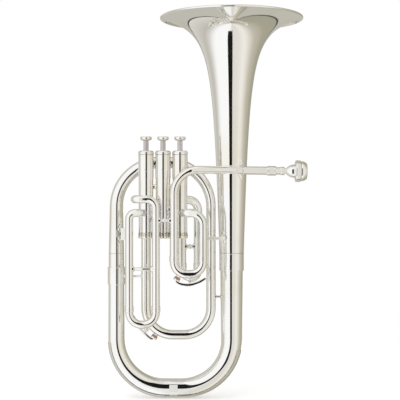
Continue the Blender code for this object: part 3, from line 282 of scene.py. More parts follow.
def carve(bm, tool):
    """Cut a shape with a tool and give the result."""
    helpers = [add_mesh_object("carving", shape) for shape in (bm, tool)]
    modifier = helpers[0].modifiers.new("carve", "BOOLEAN")
    modifier.solver = "EXACT"
    modifier.operation = "DIFFERENCE"
    modifier.object = helpers[1]
    carved = bmesh.new()
    carved.from_object(helpers[0], bpy.context.evaluated_depsgraph_get())
    for helper in helpers:
        mesh = helper.data
        bpy.data.objects.remove(helper, do_unlink=True)
        bpy.data.meshes.remove(mesh)
    return carved


def drum(at, way, radius, length, segments=64):
    """A plain round tool that runs from a point along a way."""
    return lathe([(0, 0), (radius, 0), (radius, length), (0, length)], segments, at, way)


# %% [markdown]
# ## Finishes
#
# Nearly all of the horn is brass under polished silver plate. Real plate is never a perfect mirror: it
# has a thin haze of handling, fine hairlines from the cloth, a faint yellow tarnish in patches, and
# tube that was bent by hand is not quite even. Those effects are one shader group with named outputs,
# built once and used by every metal finish with its own amounts. The group reads Object coordinates, so
# nothing slides on a piece.

# %% Node helpers
def feed(tree, node, inputs):
    """Link a node's inputs to other sockets or set them to plain values."""
    for socket, value in inputs.items():
        if isinstance(value, bpy.types.NodeSocket):
            tree.links.new(value, node.inputs[socket])
        else:
            node.inputs[socket].default_value = value


def add_node(tree, kind, inputs=None, **settings):
    """Add a node, set what it is told, and feed its inputs."""
    made = tree.nodes.new(kind)
    for name, value in settings.items():
        setattr(made, name, value)
    feed(tree, made, inputs or {})
    return made


def maths(tree, operation, *values):
    """The result of a maths node that is fed with one or two values."""
    return add_node(tree, "ShaderNodeMath", dict(enumerate(values)), operation=operation).outputs[0]


def mixed(tree, share, first, second):
    """Two colours mixed by a share."""
    inputs = {0: share, 6: first, 7: second}
    return add_node(tree, "ShaderNodeMix", inputs, data_type="RGBA").outputs[2]


def noise(tree, where, scale, detail):
    """The value of a noise pattern."""
    inputs = {"Vector": where, "Scale": scale, "Detail": detail}
    return add_node(tree, "ShaderNodeTexNoise", inputs).outputs["Fac"]


def ramp(tree, value, stops):
    """A colour ramp from (position, grey or colour) stops."""
    made = add_node(tree, "ShaderNodeValToRGB", {"Fac": value})
    elements = made.color_ramp.elements
    while len(elements) < len(stops):
        elements.new(0.5)
    for element, (position, colour) in zip(elements, stops):
        element.position = position
        element.color = (*colour, 1) if isinstance(colour, tuple) else (colour, colour, colour, 1)
    return made.outputs["Color"]


def new_material(name):
    """A material, its node tree and its Principled shader."""
    material = bpy.data.materials.new(name)
    material.use_nodes = True
    return material, material.node_tree, material.node_tree.nodes["Principled BSDF"]


# %% Handling group
def handling_group():
    """Haze, hairlines, tarnish and the slight unevenness of worked metal."""
    tree = bpy.data.node_groups.new("handled_metal", "ShaderNodeTree")
    for name, default in (("Hairlines", 0.5), ("Waviness", 0.2)):
        socket = tree.interface.new_socket(name, in_out="INPUT", socket_type="NodeSocketFloat")
        socket.default_value = default
    for name, kind in (("Haze", "Float"), ("Tarnish", "Float"), ("Lines", "Float"), ("Normal", "Vector")):
        tree.interface.new_socket(name, in_out="OUTPUT", socket_type="NodeSocket" + kind)
    given = tree.nodes.new("NodeGroupInput").outputs
    place = add_node(tree, "ShaderNodeTexCoord").outputs["Object"]
    haze = ramp(tree, noise(tree, place, 38.0, 5.0), [(0.38, 0.0), (0.72, 1.0)])
    tarnish = ramp(tree, noise(tree, place, 16.0, 6.0), [(0.5, 0.0), (0.78, 1.0)])
    stretch = add_node(tree, "ShaderNodeMapping", {"Vector": place, "Scale": (2200.0, 2600.0, 160.0)})
    lines = ramp(tree, noise(tree, stretch.outputs[0], 1.0, 3.0), [(0.52, 0.0), (0.8, 1.0)])
    lines = maths(tree, "MULTIPLY", lines, given["Hairlines"])
    height = maths(tree, "MULTIPLY", noise(tree, place, 55.0, 2.0), given["Waviness"])
    bump = add_node(tree, "ShaderNodeBump", {"Height": height, "Strength": 0.35, "Distance": 0.0006})
    results = {"Haze": haze, "Tarnish": tarnish, "Lines": lines, "Normal": bump.outputs["Normal"]}
    add_node(tree, "NodeGroupOutput", results)
    return tree


HANDLING = handling_group()

# %% [markdown]
# A metal finish mixes its clean colour with its tarnished one by the group's tarnish, and spreads its
# shine between two roughness values by the haze and the hairlines. The Principled shader stays in the
# material itself, fully metallic.

# %% Metal finishes
def metal(name, clean, tarnished, shine, hairlines=0.5, waviness=0.2):
    """A worked metal: clean and tarnished colours, and shine as (lowest, highest) roughness."""
    material, tree, shader = new_material(name)
    amounts = {"Hairlines": hairlines, "Waviness": waviness}
    handled = add_node(tree, "ShaderNodeGroup", amounts, node_tree=HANDLING).outputs
    wear = maths(tree, "MAXIMUM", handled["Haze"], handled["Lines"])
    rough = add_node(tree, "ShaderNodeMapRange", {"Value": wear, "To Min": shine[0], "To Max": shine[1]})
    looks = {
        "Metallic": 1.0,
        "Base Color": mixed(tree, handled["Tarnish"], (*clean, 1), (*tarnished, 1)),
        "Roughness": rough.outputs["Result"],
        "Normal": handled["Normal"],
    }
    feed(tree, shader, looks)
    return material


SILVER = metal("polished_silver", (0.95, 0.945, 0.93), (0.90, 0.86, 0.76), (0.03, 0.09))
TURNED = metal("turned_silver", (0.94, 0.93, 0.91), (0.86, 0.82, 0.72), (0.06, 0.16), 0.9, 0.05)
# Painted shade: the knurl grooves get a dark brown colour that stands for the shade in the recess, with some
# tarnish.
GROOVE_SHADE_AND_TARNISH = metal("groove_shade_and_tarnish", (0.68, 0.56, 0.34), (0.47, 0.32, 0.19), (0.30, 0.5), 0.6, 0.0)
WORN = metal("worn_silver", (0.62, 0.61, 0.55), (0.50, 0.48, 0.42), (0.22, 0.36), 0.8, 0.0)
STEM = metal("valve_stem", (0.70, 0.67, 0.69), (0.62, 0.60, 0.61), (0.28, 0.42), 1.0, 0.0)
SPRING = metal("spring_wire", (0.62, 0.60, 0.58), (0.42, 0.38, 0.33), (0.22, 0.4), 0.6, 0.1)
SPRING_PIN = metal("hinge_steel", (0.60, 0.59, 0.58), (0.44, 0.41, 0.38), (0.18, 0.34), 0.6, 0.0)
ENGRAVED = metal("engraved_line", (0.48, 0.47, 0.45), (0.34, 0.32, 0.29), (0.35, 0.6), 0.5, 0.0)
print("metal finishes:", [material.name for material in bpy.data.materials if material.use_nodes])

# %% [markdown]
# Cork pads seal the two water keys. Cork is pressed from small grains, so a cell pattern colours it, dark
# where the grains meet, and the same pattern makes its bump.

# %% Cork
CORK, tree, shader = new_material("pressed_cork")
place = add_node(tree, "ShaderNodeTexCoord").outputs["Object"]
grains = add_node(tree, "ShaderNodeTexVoronoi", {"Vector": place, "Scale": 900.0}).outputs["Distance"]
colour = ramp(tree, grains, [(0.25, (0.58, 0.33, 0.22)), (0.7, (0.36, 0.18, 0.11))])
bump = add_node(tree, "ShaderNodeBump", {"Height": grains, "Strength": 0.5, "Distance": 0.0003})
feed(tree, shader, {"Roughness": 0.9, "Base Color": colour, "Normal": bump.outputs["Normal"]})

# %% [markdown]
# ## From shape to piece
#
# The same last steps end every piece: scale to metres, smooth the faces, mark the sharp edges, dress it
# in its finish, break its corners where that is asked, even out its shading, hide the plain CAD nodes that
# it stands for, and hang it on the body that carries it.

# %% Make a piece
def make_piece(name, bm, stands_for=(), finish=SILVER, body="horn", bevel=0.0, extra=()):
    """Finish a millimetre mesh as an object at the origin that rides on a body."""
    bmesh.ops.scale(bm, vec=(MM, MM, MM), verts=bm.verts)
    for face in bm.faces:
        face.smooth = True
    for edge in bm.edges:
        edge.smooth = len(edge.link_faces) == 2 and edge.calc_face_angle(0) < SHARP_EDGE
    piece = add_mesh_object(name, bm)
    for layer in (finish, *extra):
        piece.data.materials.append(layer)
    if bevel:
        rounding = piece.modifiers.new("broken edges", "BEVEL")
        rounding.width = bevel * MM
        rounding.segments = 2
        rounding.limit_method = "ANGLE"
        rounding.angle_limit = SHARP_EDGE
    shading = piece.modifiers.new("even shading", "WEIGHTED_NORMAL")
    shading.keep_sharp = True
    if stands_for:
        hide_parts(*stands_for)
    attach(piece, body)
    print("made", name, "on", body)
    return piece


# %% [markdown]
# ## The bell
#
# A bell is spun over a steel form. Its outer radius is a slow cone plus a flare that dies away with the
# depth below the rim. The wall is offset along the curve's own slope, and the edge is rolled over a wire,
# which gives the round rim bead.

# %% Bell
BELL_X = 82.5
BELL_RIM_Z = 545.0
BELL_LENGTH = 337.0
BELL_WALL = 0.8
RIM_BEAD_R = 1.6
STEM_R = 21.15
STEM_TAPER = 6.32
FLARE_R = 81.35
FLARE_DEPTH = 29.34
FLARE_POWER = 1.334


def bell_radius(depth):
    """The outer radius: a slow cone and a flare that dies away with the depth below the rim."""
    return STEM_R - STEM_TAPER * depth / BELL_LENGTH + FLARE_R * (1 + depth / FLARE_DEPTH) ** -FLARE_POWER


def bell_slope(depth):
    """How the outer radius changes with the depth."""
    flare = FLARE_R * FLARE_POWER / FLARE_DEPTH * (1 + depth / FLARE_DEPTH) ** -(FLARE_POWER + 1)
    return -STEM_TAPER / BELL_LENGTH - flare


def bell_outline(first, count, wall=0.0):
    """Points down the bell's skin, close together in the flare, moved in by a wall thickness."""
    span = 1 + (BELL_LENGTH - first) / FLARE_DEPTH
    line = []
    for i in range(count + 1):
        depth = first + FLARE_DEPTH * (span ** (i / count) - 1)
        along = math.hypot(bell_slope(depth), 1)
        radius = bell_radius(depth) - wall / along
        line.append((radius, BELL_RIM_Z - depth - wall * bell_slope(depth) / along))
    return line


rim_r = bell_radius(0)
bead = []
for degrees in range(90, -151, -20):
    turn = math.radians(degrees)
    bead.append((rim_r + RIM_BEAD_R * (math.cos(turn) - 1), BELL_RIM_Z + RIM_BEAD_R * (math.sin(turn) - 1)))
skin_start = RIM_BEAD_R * 0.75
profile = [(rim_r - RIM_BEAD_R - 1.2, BELL_RIM_Z)] + bead
profile += bell_outline(skin_start, 44) + bell_outline(skin_start, 44, BELL_WALL)[::-1]
make_piece("bell_spun", lathe(profile, 144, (BELL_X, 0, 0)), ["bell"])
print("bell rim diameter:", round(2 * rim_r, 1), "mm")

# %% Bell ferrule
FERRULE_TOP = 207.7
FERRULE_LOW = 182.5
ferrule_r = bell_radius(BELL_LENGTH)
profile = [
    (ferrule_r + 0.25, FERRULE_TOP), (ferrule_r + 0.25, FERRULE_TOP - 1.2),
    (ferrule_r, FERRULE_TOP - 1.5), (ferrule_r, FERRULE_LOW + 1.5), (ferrule_r + 0.2, FERRULE_LOW + 1.2),
    (ferrule_r + 0.1, FERRULE_LOW), (ferrule_r - 1, FERRULE_LOW), (ferrule_r - 1, FERRULE_TOP),
]
band = lathe(eased(profile, 0.2), 96, (BELL_X, 0, 0))
make_piece("bell_ferrule_band", band, ["bell_ferrule"])

# %% [markdown]
# ## The bottom bow, its guard and the left branch
#
# The bow is one tube that widens from 11.2 at the branch to 16.3 under the bell. It is bent while full of
# pitch, so the radius still grows evenly in the bends. The guard is a thin crescent strip on its outside,
# swept along the same line, and it carries the weight when the horn is set down.

# %% Bottom bow and guard
BRANCH_X = -82.5
BOW_Z = 14.4
BOW_BEND = 70.5
corners = [(BRANCH_X, 0, 174.8), (BRANCH_X, 0, BOW_Z), (BELL_X, 0, BOW_Z), (BELL_X, 0, 196)]
points = rounded(corners, [BOW_BEND, BOW_BEND])
bend = (len(points) - 2) // 2
marks = [(0, 11.2), (1, 11.6), (bend, 13.3), (bend + 1, 13.3), (2 * bend, 15.0), (2 * bend + 1, 16.33)]
bow_stations = stepped_taper(points, marks)
make_piece("bottom_bow_tube", swept(bow_stations, 64, wall=TUBE_WALL), ["bottom_bow"])


def shortened(stations, length):
    """Take a length off the start of a row of stations."""
    while (stations[1][0] - stations[0][0]).length < length:
        length -= (stations[1][0] - stations[0][0]).length
        stations = stations[1:]
    share = length / (stations[1][0] - stations[0][0]).length
    start = stations[0][0].lerp(stations[1][0], share)
    return [(start, stations[0][1] + (stations[1][1] - stations[0][1]) * share)] + stations[1:]


GUARD_HALF_ANGLE = math.radians(50)
GUARD_INNER = 13.6
GUARD_THICKNESS = 0.8
guard_stations = shortened(bow_stations[1:-1], 4.9)
guard_stations = shortened(guard_stations[::-1], 13.2)[::-1]
guard_stations = [(point, (radius + 0.3) / GUARD_INNER) for point, radius in guard_stations]
angles = [GUARD_HALF_ANGLE * (2 * i / 16 - 1) for i in range(17)]
outline = [(GUARD_INNER * math.sin(angle), -GUARD_INNER * math.cos(angle)) for angle in angles]
outer = GUARD_INNER + GUARD_THICKNESS
outline += [(outer * math.sin(angle), -outer * math.cos(angle)) for angle in angles[::-1]]
guard = swept(guard_stations, outline=outline)
make_piece("bow_guard_strip", guard, ["bow_guard"], bevel=0.3)

# %% Left branch and its ferrule
branch = taper([spot(BRANCH_X, 0, 175.1), spot(BRANCH_X, 0, 207)], 11.2, 11.0)
make_piece("left_branch_tube", swept(branch, 64, wall=TUBE_WALL), ["left_branch"])
profile = [
    (12.15, 12.35), (12.55, 11.6), (12.4, 10.9), (12.4, -10.9), (12.55, -11.6), (12.15, -12.35),
    (11.8, -12.35), (11.8, 12.35),
]
band = lathe(eased(profile, 0.3), 72, (BRANCH_X, 0, 174.8))
make_piece("left_branch_ferrule_band", band, ["left_branch_ferrule"])

# %% [markdown]
# ## The upper bow, the inner bow and the exit tube
#
# From the branch the tube rises, crosses behind the valves and comes down again inside the bell, growing
# narrower all the way. The inner bow takes it up to the third valve. A slim ring of solder shows where
# two tubes meet.

# %% Upper bow
INNER_X = 53
UPPER_Z = 337.2
BRANCH_LOW = 207.3
BRANCH_TOP = 274.2
corners = [(BRANCH_X, 0, BRANCH_LOW), (BRANCH_X, 0, UPPER_Z), (INNER_X, 0, UPPER_Z), (INNER_X, 0, 188.15)]
points = rounded(corners, [63, 63])
bend = (len(points) - 2) // 2
upper_stations = stepped_taper(points, [(0, 11.0), (1, 9.5), (2 * bend, INNER_R), (2 * bend + 1, INNER_R)])
make_piece("upper_bow_tube", swept(upper_stations, 48, wall=TUBE_WALL), ["upper_bow"])

# %% Exit tube
VALVE_Y = -21.0
VALVE_X = {1: 9.0, 2: -15.0, 3: -39.0}
SADDLE_R = 9.6
SADDLE_LOW = 232.0
SADDLE_LENGTH = 114.0
EXIT_X = -40.1


def valve_point(number, z):
    return spot(VALVE_X[number], VALVE_Y, z)


def saddled(bm, *numbers):
    """Cut a shape to fit the walls of these valve casings."""
    for number in numbers:
        bm = carve(bm, drum(valve_point(number, SADDLE_LOW), UP, SADDLE_R, SADDLE_LENGTH, 96))
    return bm


points = rounded([(EXIT_X, 0, 188.15), (EXIT_X, 0, 254), valve_point(3, 254)], [10.7])
exit_tube = saddled(swept(taper(points, INNER_R, INNER_R), 40, wall=TUBE_WALL), 3)
make_piece("exit_tube_bent", exit_tube, ["exit_tube"])

# %% [markdown]
# ## Water key seats
#
# A water key closes a small spout on the lowest side of a bend. The spout, the two lugs that hold the
# hinge and the hinge pin are soldered to the tube. They are turned shapes, set by the way that the key
# faces.

# %% Seats
LUG_R = 1.2
LUG_Y = 2.6 + 0.3 + LUG_R
PIN_R = 0.9
SPOUT = [(2.0, 1.4), (2.9, 1.4), (3.2, 1.1), (3.0, 0.6), (3.2, 0), (4.0, -1.2), (4.2, -3.0), (2.0, -3.0)]
SEATS = {
    1: {
        "spout": (spot(7.05, -39, 176.71), spot(-0.4848, 0, -0.8746)),
        "pivot": spot(22.6, -39, 170.6),
        "root": spot(22.6, -39, 179.7),
        "body": "main_slide_body",
    },
    2: {
        "spout": (spot(-26.04, 0, 90.61), spot(-0.5385, 0, -0.8426)),
        "pivot": spot(-38.5, 0, 97.27),
        "root": spot(-30.9, 0, 103.76),
        "body": "horn",
    },
}


def make_seat(number):
    """The spout with its rolled mouth, two lugs with round heads, and the hinge pin with its screw head."""
    seat = SEATS[number]
    name = f"water_key_{number}"
    body = seat["body"]
    make_piece(name + "_spout", lathe(eased(SPOUT, 0.15), 40, *seat["spout"]), body=body)
    out = (seat["pivot"] - seat["root"]).normalized()
    for side, sign in (("front", -1), ("back", 1)):
        away = BACK * LUG_Y * sign
        foot = seat["root"] + out * 3 + away
        head = seat["pivot"] + out * LUG_R + away
        half = (head - foot).length
        profile = [(0, half), (0.9, half - 0.15), (1.25, half - 0.8), (1.25, half - 2), (1.05, half - 2.8)]
        profile += [(1.2, 1.5), (1.7, 0.3), (2.0, -1.0), (0, -1.0)]
        make_piece(f"{name}_lug_{side}", lathe(smooth_line(profile, 3), 24, foot, out), body=body)
    reach = LUG_Y * 1.05
    pin = [(0, -reach), (PIN_R, -reach), (PIN_R, reach), (1.4, reach), (1.4, reach + 0.5)]
    pin += [(1.1, reach + 0.8), (0, reach + 0.8)]
    shape = lathe(eased(pin, 0.12), 24, seat["pivot"], -BACK)
    make_piece(name + "_pin", shape, finish=SPRING_PIN, body=body)


# %% Inner bow
corners = [(EXIT_X, 0, 187.85), (EXIT_X, 0, 90.3), (INNER_X, 0, 90.3), (INNER_X, 0, 187.85)]
points = rounded(corners, [38.4, 38.4])
inner = swept(taper(points, INNER_R, INNER_R), 40, wall=TUBE_WALL)
make_piece("inner_bow_tube", inner, ["inner_bow"])
make_seat(2)


def solder_ring(name, at, way, radius):
    """A slim bright ring where two tubes meet."""
    profile = [(radius - 0.2, -0.7), (radius + 0.28, -0.6), (radius + 0.42, 0), (radius + 0.28, 0.6)]
    profile += [(radius - 0.2, 0.7)]
    make_piece(name, lathe(eased(profile, 0.15), 64, at, way))


solder_ring("inner_joint_ring_left", (EXIT_X, 0, 188), UP, INNER_R)
solder_ring("inner_joint_ring_right", (INNER_X, 0, 188), UP, INNER_R)

# %% [markdown]
# ## The valves
#
# Each casing is a drawn tube with a wider spring barrel above and a threaded neck below. The caps screw
# on, and the bottom ones are knurled so that fingers can grip them. A knurl is made from the turned cap:
# on a band of faces, every second one is sunk a little and given a dark brown finish, which is painted
# shade in the groove with some tarnish.

# %% Knurling
def knurl(bm, low, high, depth, axis_at, axis, least):
    """Sink every second face of the outermost band between two heights along an axis."""
    axis = Vector(axis)
    start = axis.orthogonal().normalized()
    band = []
    for face in bm.faces:
        offset = face.calc_center_median() - Vector(axis_at)
        height = offset.dot(axis)
        outward = offset - axis * height
        if low < height < high and outward.length > least and face.normal.dot(outward.normalized()) > 0.9:
            band.append((math.atan2(outward.dot(start.cross(axis)), outward.dot(start)), face))
    band.sort(key=lambda pair: pair[0])
    chosen = [face for _, face in band[::2]]
    bmesh.ops.inset_individual(bm, faces=chosen, thickness=0.08, depth=-depth)
    # The sunk faces take the second finish, which is painted shade in the groove with some tarnish.
    for face in chosen:
        face.material_index = 1


# %% Casings and caps
CASING_TOP = 347.0
CASING_LOW = 231.5
BORE_R = 8.8
CASING_R = 10.3
BARREL_R = 10.75


def make_casing(number):
    """The casing with its wide spring barrel and its neck."""
    profile = [
        (BARREL_R, CASING_TOP), (BARREL_R, 315.2), (CASING_R, 312.6), (CASING_R, 241.2), (10.5, 240.9),
        (10.5, 237.2), (9.5, 237.2), (9.5, CASING_LOW), (BORE_R, CASING_LOW), (BORE_R, CASING_TOP),
    ]
    shape = lathe(eased(profile, 0.25), 96, (VALVE_X[number], VALVE_Y, 0))
    make_piece(f"valve_casing_{number}_tube", shape, [f"valve_casing_{number}"])


def make_caps(number):
    """The domed top cap with the stem's hole, and the knurled bottom cap."""
    at = (VALVE_X[number], VALVE_Y, 0)
    dome = smooth_line([(8.6, 353.0), (9.5, 352.75), (10.4, 351.9), (10.95, 350.6), (11.05, 349.6)], 3)
    profile = [(4.3, 353.0)] + dome
    profile += [(11.05, 348.1), (10.8, 347.3), (8.5, 347.3), (8.5, 343.3), (7.9, 343.3), (7.9, 349.5)]
    profile += [(4.3, 349.5)]
    shape = lathe(eased(profile, 0.2), 96, at)
    make_piece(f"top_cap_{number}_turned", shape, [f"top_cap_{number}"], TURNED)
    profile = [
        (0, 231.2), (9.8, 231.2), (9.8, 236.9), (10.9, 236.9), (10.9, 232.2), (11.1, 232.0),
        (11.1, 230.1), (10.4, 229.1), (2.6, 229.1), (2.4, 229.9), (0, 229.9),
    ]
    shape = lathe(eased(profile, 0.22), 64, at)
    knurl(shape, 232.6, 236.4, 0.3, at, UP, 10.5)
    make_piece(f"bottom_cap_{number}_turned", shape, [f"bottom_cap_{number}"], TURNED, extra=[GROOVE_SHADE_AND_TARNISH])


# %% [markdown]
# A piston is turned with its stem, and cross passages are drilled through it. Only the stem shows, but a
# pressed piston must still be whole, so the passages are drilled here too. The finger button is a flat
# lens with a dished top. Under the piston stands its spring, a wire swept along a screw line.

# %% Pistons and buttons
PISTON_R = 8.5
PASSAGE_R = 4.7
PASSAGES = {
    1: [((-60, 265.2), (180, 270)), ((-60, 278.2), (34.15, 296.4))],
    2: [((0, 270), (180, 258)), ((0, 283), (90, 294))],
    3: [((0, 258), (90, 254)), ((0, 271), (-115.5, 278.2))],
}


def make_piston(number):
    """The piston with its stem and its drilled passages, and the button on top."""
    body = f"piston_{number}_body"
    at = (VALVE_X[number], VALVE_Y, 0)
    profile = [
        (0, 366.7), (3.6, 366.7), (3.6, 343.5), (4.3, 342.6), (7.6, 341.8), (PISTON_R, 340.9),
        (PISTON_R, 245.7), (6.8, 245.7), (6.8, 248.9), (0, 248.9),
    ]
    shape = lathe(eased(profile, 0.25), 64, at)
    for ends in PASSAGES[number]:
        points = []
        for degrees, z in ends:
            turn = math.radians(degrees)
            points.append(valve_point(number, z) + spot(math.cos(turn), math.sin(turn), 0) * PISTON_R)
        way = (points[1] - points[0]).normalized()
        length = (points[1] - points[0]).length + 12
        shape = carve(shape, drum(points[0] - way * 6, way, PASSAGE_R, length, 32))
    make_piece(f"piston_{number}_turned", shape, [f"piston_{number}"], STEM, body)
    low = 367.0
    rim = [(4.4, 371.9), (6.4, 372.45), (7.1, 372.9), (7.75, 372.3), (8.15, 370.9), (8.1, 369.6)]
    rim += [(7.2, 368.3), (5.4, 367.5), (4.2, low + 0.05)]
    profile = [(0, 371.75)] + smooth_line(rim, 4) + [(0, low)]
    shape = lathe(profile, 72, at)
    make_piece(f"finger_button_{number}_turned", shape, [f"finger_button_{number}"], TURNED, body)


SPRING_LOW = 231.6
SPRING_HIGH = 248.45
SPRING_COIL_R = 5.8
SPRING_WIRE_R = 0.35
SPRING_TURNS = 5
STEPS_PER_TURN = 24


def make_spring(number):
    """A coil that stands on the bottom cap under its piston, with a mesh of its own."""
    steps = SPRING_TURNS * STEPS_PER_TURN
    points = []
    for i in range(steps + 1):
        turn = math.tau * i / STEPS_PER_TURN
        around = spot(math.cos(turn), math.sin(turn), 0) * SPRING_COIL_R
        points.append(valve_point(number, SPRING_LOW + (SPRING_HIGH - SPRING_LOW) * i / steps) + around)
    shape = swept([(point, SPRING_WIRE_R) for point in points], 10)
    node = f"valve_spring_{number}"
    coil = make_piece(node + "_wound", shape, [node], SPRING)
    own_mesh(coil)


for number in (1, 2, 3):
    make_casing(number)
    make_caps(number)
    make_piston(number)
    make_spring(number)

# %% [markdown]
# Each casing carries its number, so that a valve goes back into its own casing after cleaning. The digit
# is a text curve made into a mesh, cut into narrow strips so that it can follow the round wall, wrapped on
# the barrel and given a hair of thickness.

# %% Valve numbers
NUMBER_Z = 324.0
NUMBER_SIZE = 6.6


def valve_number(number):
    """The digit as a thin plate on the barrel's wall."""
    letter = bpy.data.curves.new("number", "FONT")
    letter.body = str(number)
    letter.size = NUMBER_SIZE
    letter.align_x = "CENTER"
    letter.align_y = "CENTER"
    holder = add_object("number", letter)
    flat = bpy.data.meshes.new_from_object(holder.evaluated_get(bpy.context.evaluated_depsgraph_get()))
    bm = bmesh.new()
    bm.from_mesh(flat)
    bpy.data.objects.remove(holder, do_unlink=True)
    bpy.data.curves.remove(letter)
    bpy.data.meshes.remove(flat)
    for strip in range(-5, 6):
        whole = bm.verts[:] + bm.edges[:] + bm.faces[:]
        bmesh.ops.bisect_plane(bm, geom=whole, plane_co=(strip * 0.4, 0, 0), plane_no=RIGHT)
    bmesh.ops.remove_doubles(bm, verts=bm.verts, dist=WELD)
    bmesh.ops.solidify(bm, geom=bm.faces, thickness=0.06)
    for vert in bm.verts:
        turn = vert.co.x / BARREL_R
        radius = BARREL_R + 0.03 + abs(vert.co.z)
        away = spot(math.sin(turn), -math.cos(turn), 0) * radius
        vert.co = valve_point(number, NUMBER_Z + vert.co.y) + away
    bmesh.ops.recalc_face_normals(bm, faces=bm.faces)
    make_piece(f"valve_number_{number}", bm, finish=ENGRAVED)


for number in VALVE_X:
    valve_number(number)

# %% [markdown]
# Short tubes, called knuckles, carry the air from valve to valve, and a small solid stay ties the casings
# together higher up. Both ends are filed to the casings.

# %% Knuckles and casing stays
def make_between(name, right_number, z, radius, wall, node):
    """A tube between two casings, or a stay with a slim waist if it has no wall."""
    left = valve_point(right_number + 1, z)
    right = valve_point(right_number, z)
    middle = (left + right) / 2
    half = (right - left).length / 2
    stations = [(left, radius), (right, radius)]
    if not wall:
        stations = []
        for share in range(-4, 5):
            across = share / 4
            waist = radius * (1 - 0.12 * (1 - abs(across)))
            stations.append((middle + RIGHT * across * half * 0.4, waist))
        stations = [(left, radius)] + stations + [(right, radius)]
    shape = saddled(swept(stations, 40, wall=wall), right_number, right_number + 1)
    make_piece(name, shape, [node])


for name, right_number, z, radius, wall, node in (
    ("knuckle_tube_1_2", 1, 270, SLIM_R, TUBE_WALL, "knuckle_1_2"),
    ("knuckle_tube_2_3", 2, 258, SLIM_R, TUBE_WALL, "knuckle_2_3"),
    ("casing_tie_1_2", 1, 302, 3.6, 0, "casing_stay_1_2"),
    ("casing_tie_2_3", 2, 302, 3.6, 0, "casing_stay_2_3"),
):
    make_between(name, right_number, z, radius, wall, node)

# %% [markdown]
# ## The leadpipe, the receiver and the mouthpiece
#
# The leadpipe bends over from the main slide towards the player and narrows to the receiver, a turned
# socket with a stout end ring. The mouthpiece is turned from the bar: a domed rim, a heavy flange, a
# cup, a thin neck, a ring bead and the tapered shank that wedges into the socket.

# %% Leadpipe and receiver
FRONT_Y = -39.0
LEADPIPE_X = 1.0
TILT = math.radians(0.8)
PIPE_AXIS = spot(math.cos(TILT), 0, -math.sin(TILT))
PIPE_CORNER = spot(LEADPIPE_X, FRONT_Y, 326.04)
COLLAR_LENGTH = 4.0


def with_collar(stations, radius):
    """The stations with a soft-edged collar at their start."""
    start, plain = stations[0]
    way = (stations[1][0] - start).normalized()
    steps = [(0.0, radius - 0.25), (0.25, radius), (COLLAR_LENGTH - 0.35, radius)]
    steps += [(COLLAR_LENGTH, radius - 0.3), (COLLAR_LENGTH + 0.05, plain)]
    return [(start + way * along, r) for along, r in steps] + stations[1:]


points = rounded([(LEADPIPE_X, FRONT_Y, 201.5), PIPE_CORNER, PIPE_CORNER + PIPE_AXIS * 96], [33.5])
stations = stepped_taper(points, [(0, MAIN_R), (1, MAIN_R), (len(points) - 1, 5.3)])
shape = swept(with_collar(stations, 6.6), 40)
bore = [(point, radius - TUBE_WALL) for point, radius in stations]
bore[0] = (bore[0][0] - UP, bore[0][1])
bore[-1] = (bore[-1][0] + PIPE_AXIS, bore[-1][1])
shape = carve(shape, swept(bore, 32))
make_piece("leadpipe_bent", shape, ["leadpipe"])
profile = [
    (6.0, 46.3), (6.75, 45.6), (6.8, 44.2), (6.55, 43.6), (6.8, 43.0), (6.8, 36.2), (6.55, 35.6),
    (6.8, 35.0), (6.6, 34.0), (5.8, 33.4), (5.8, 1.2), (6.0, 0.8), (5.9, 0), (4.7, 0), (4.7, 23.7),
    (4.9, 24.0), (5.5, 46.3),
]
shape = lathe(eased(profile, 0.25), 64, PIPE_CORNER + PIPE_AXIS * 96.3, PIPE_AXIS)
make_piece("mouthpiece_socket", shape, ["mouthpiece_receiver"])

# %% Mouthpiece
MOUTH = 22.0
RIM_TOP = MOUTH + 43.3
rim = [(9.7, 0), (10.6, -0.25), (11.6, -1.2), (12.5, -2.6), (13.4, -4.2), (14.05, -6.2), (13.75, -8.3)]
profile = smooth_line([(r, RIM_TOP + z) for r, z in rim], 4)
profile += [(14.5, MOUTH + 34.2), (15.2, MOUTH + 33.4), (15.3, MOUTH + 31.5), (15.3, MOUTH + 28.6)]
profile += [(14.9, MOUTH + 27.4), (13.8, MOUTH + 27.0), (10.2, MOUTH + 26.6)]
bulb_z = MOUTH + 26.4
neck_z = MOUTH + 13.6
for i in range(13):
    share = i / 12
    profile.append((3.5 + 5.9 * (1 - share ** 2.2), bulb_z + (neck_z - bulb_z) * share))
profile += [(3.6, MOUTH + 12.6), (5.2, MOUTH + 11.9), (5.9, MOUTH + 11.0), (5.9, MOUTH + 7.4)]
profile += [(5.3, MOUTH + 6.4), (5.2, MOUTH), (4.6, 0)]
cup = [(4.0, 0), (2.0, MOUTH + 11.7), (2.0, neck_z)]
for i in range(1, 9):
    share = i / 8
    widening = math.sin(share * math.pi / 2) ** 0.9
    cup.append((2.0 + 7.1 * widening, neck_z + (RIM_TOP - 1.2 - neck_z) * share * (0.6 + 0.4 * share)))
cup += [(9.25, RIM_TOP - 0.5)]
shape = lathe(eased(profile + cup, 0.25), 96, PIPE_CORNER + PIPE_AXIS * 120.3, PIPE_AXIS)
make_piece("mouthpiece_turned", shape, ["mouthpiece"], body="mouthpiece_body")

# %% [markdown]
# ## Outer slide tubes
#
# Every slide runs in two outer tubes. Each outer tube ends in a collar at its mouth, goes up and bends
# round to its port in the valve casing, where it is filed to a saddle. The route of every tube is in one
# table, and one loop bends them all.

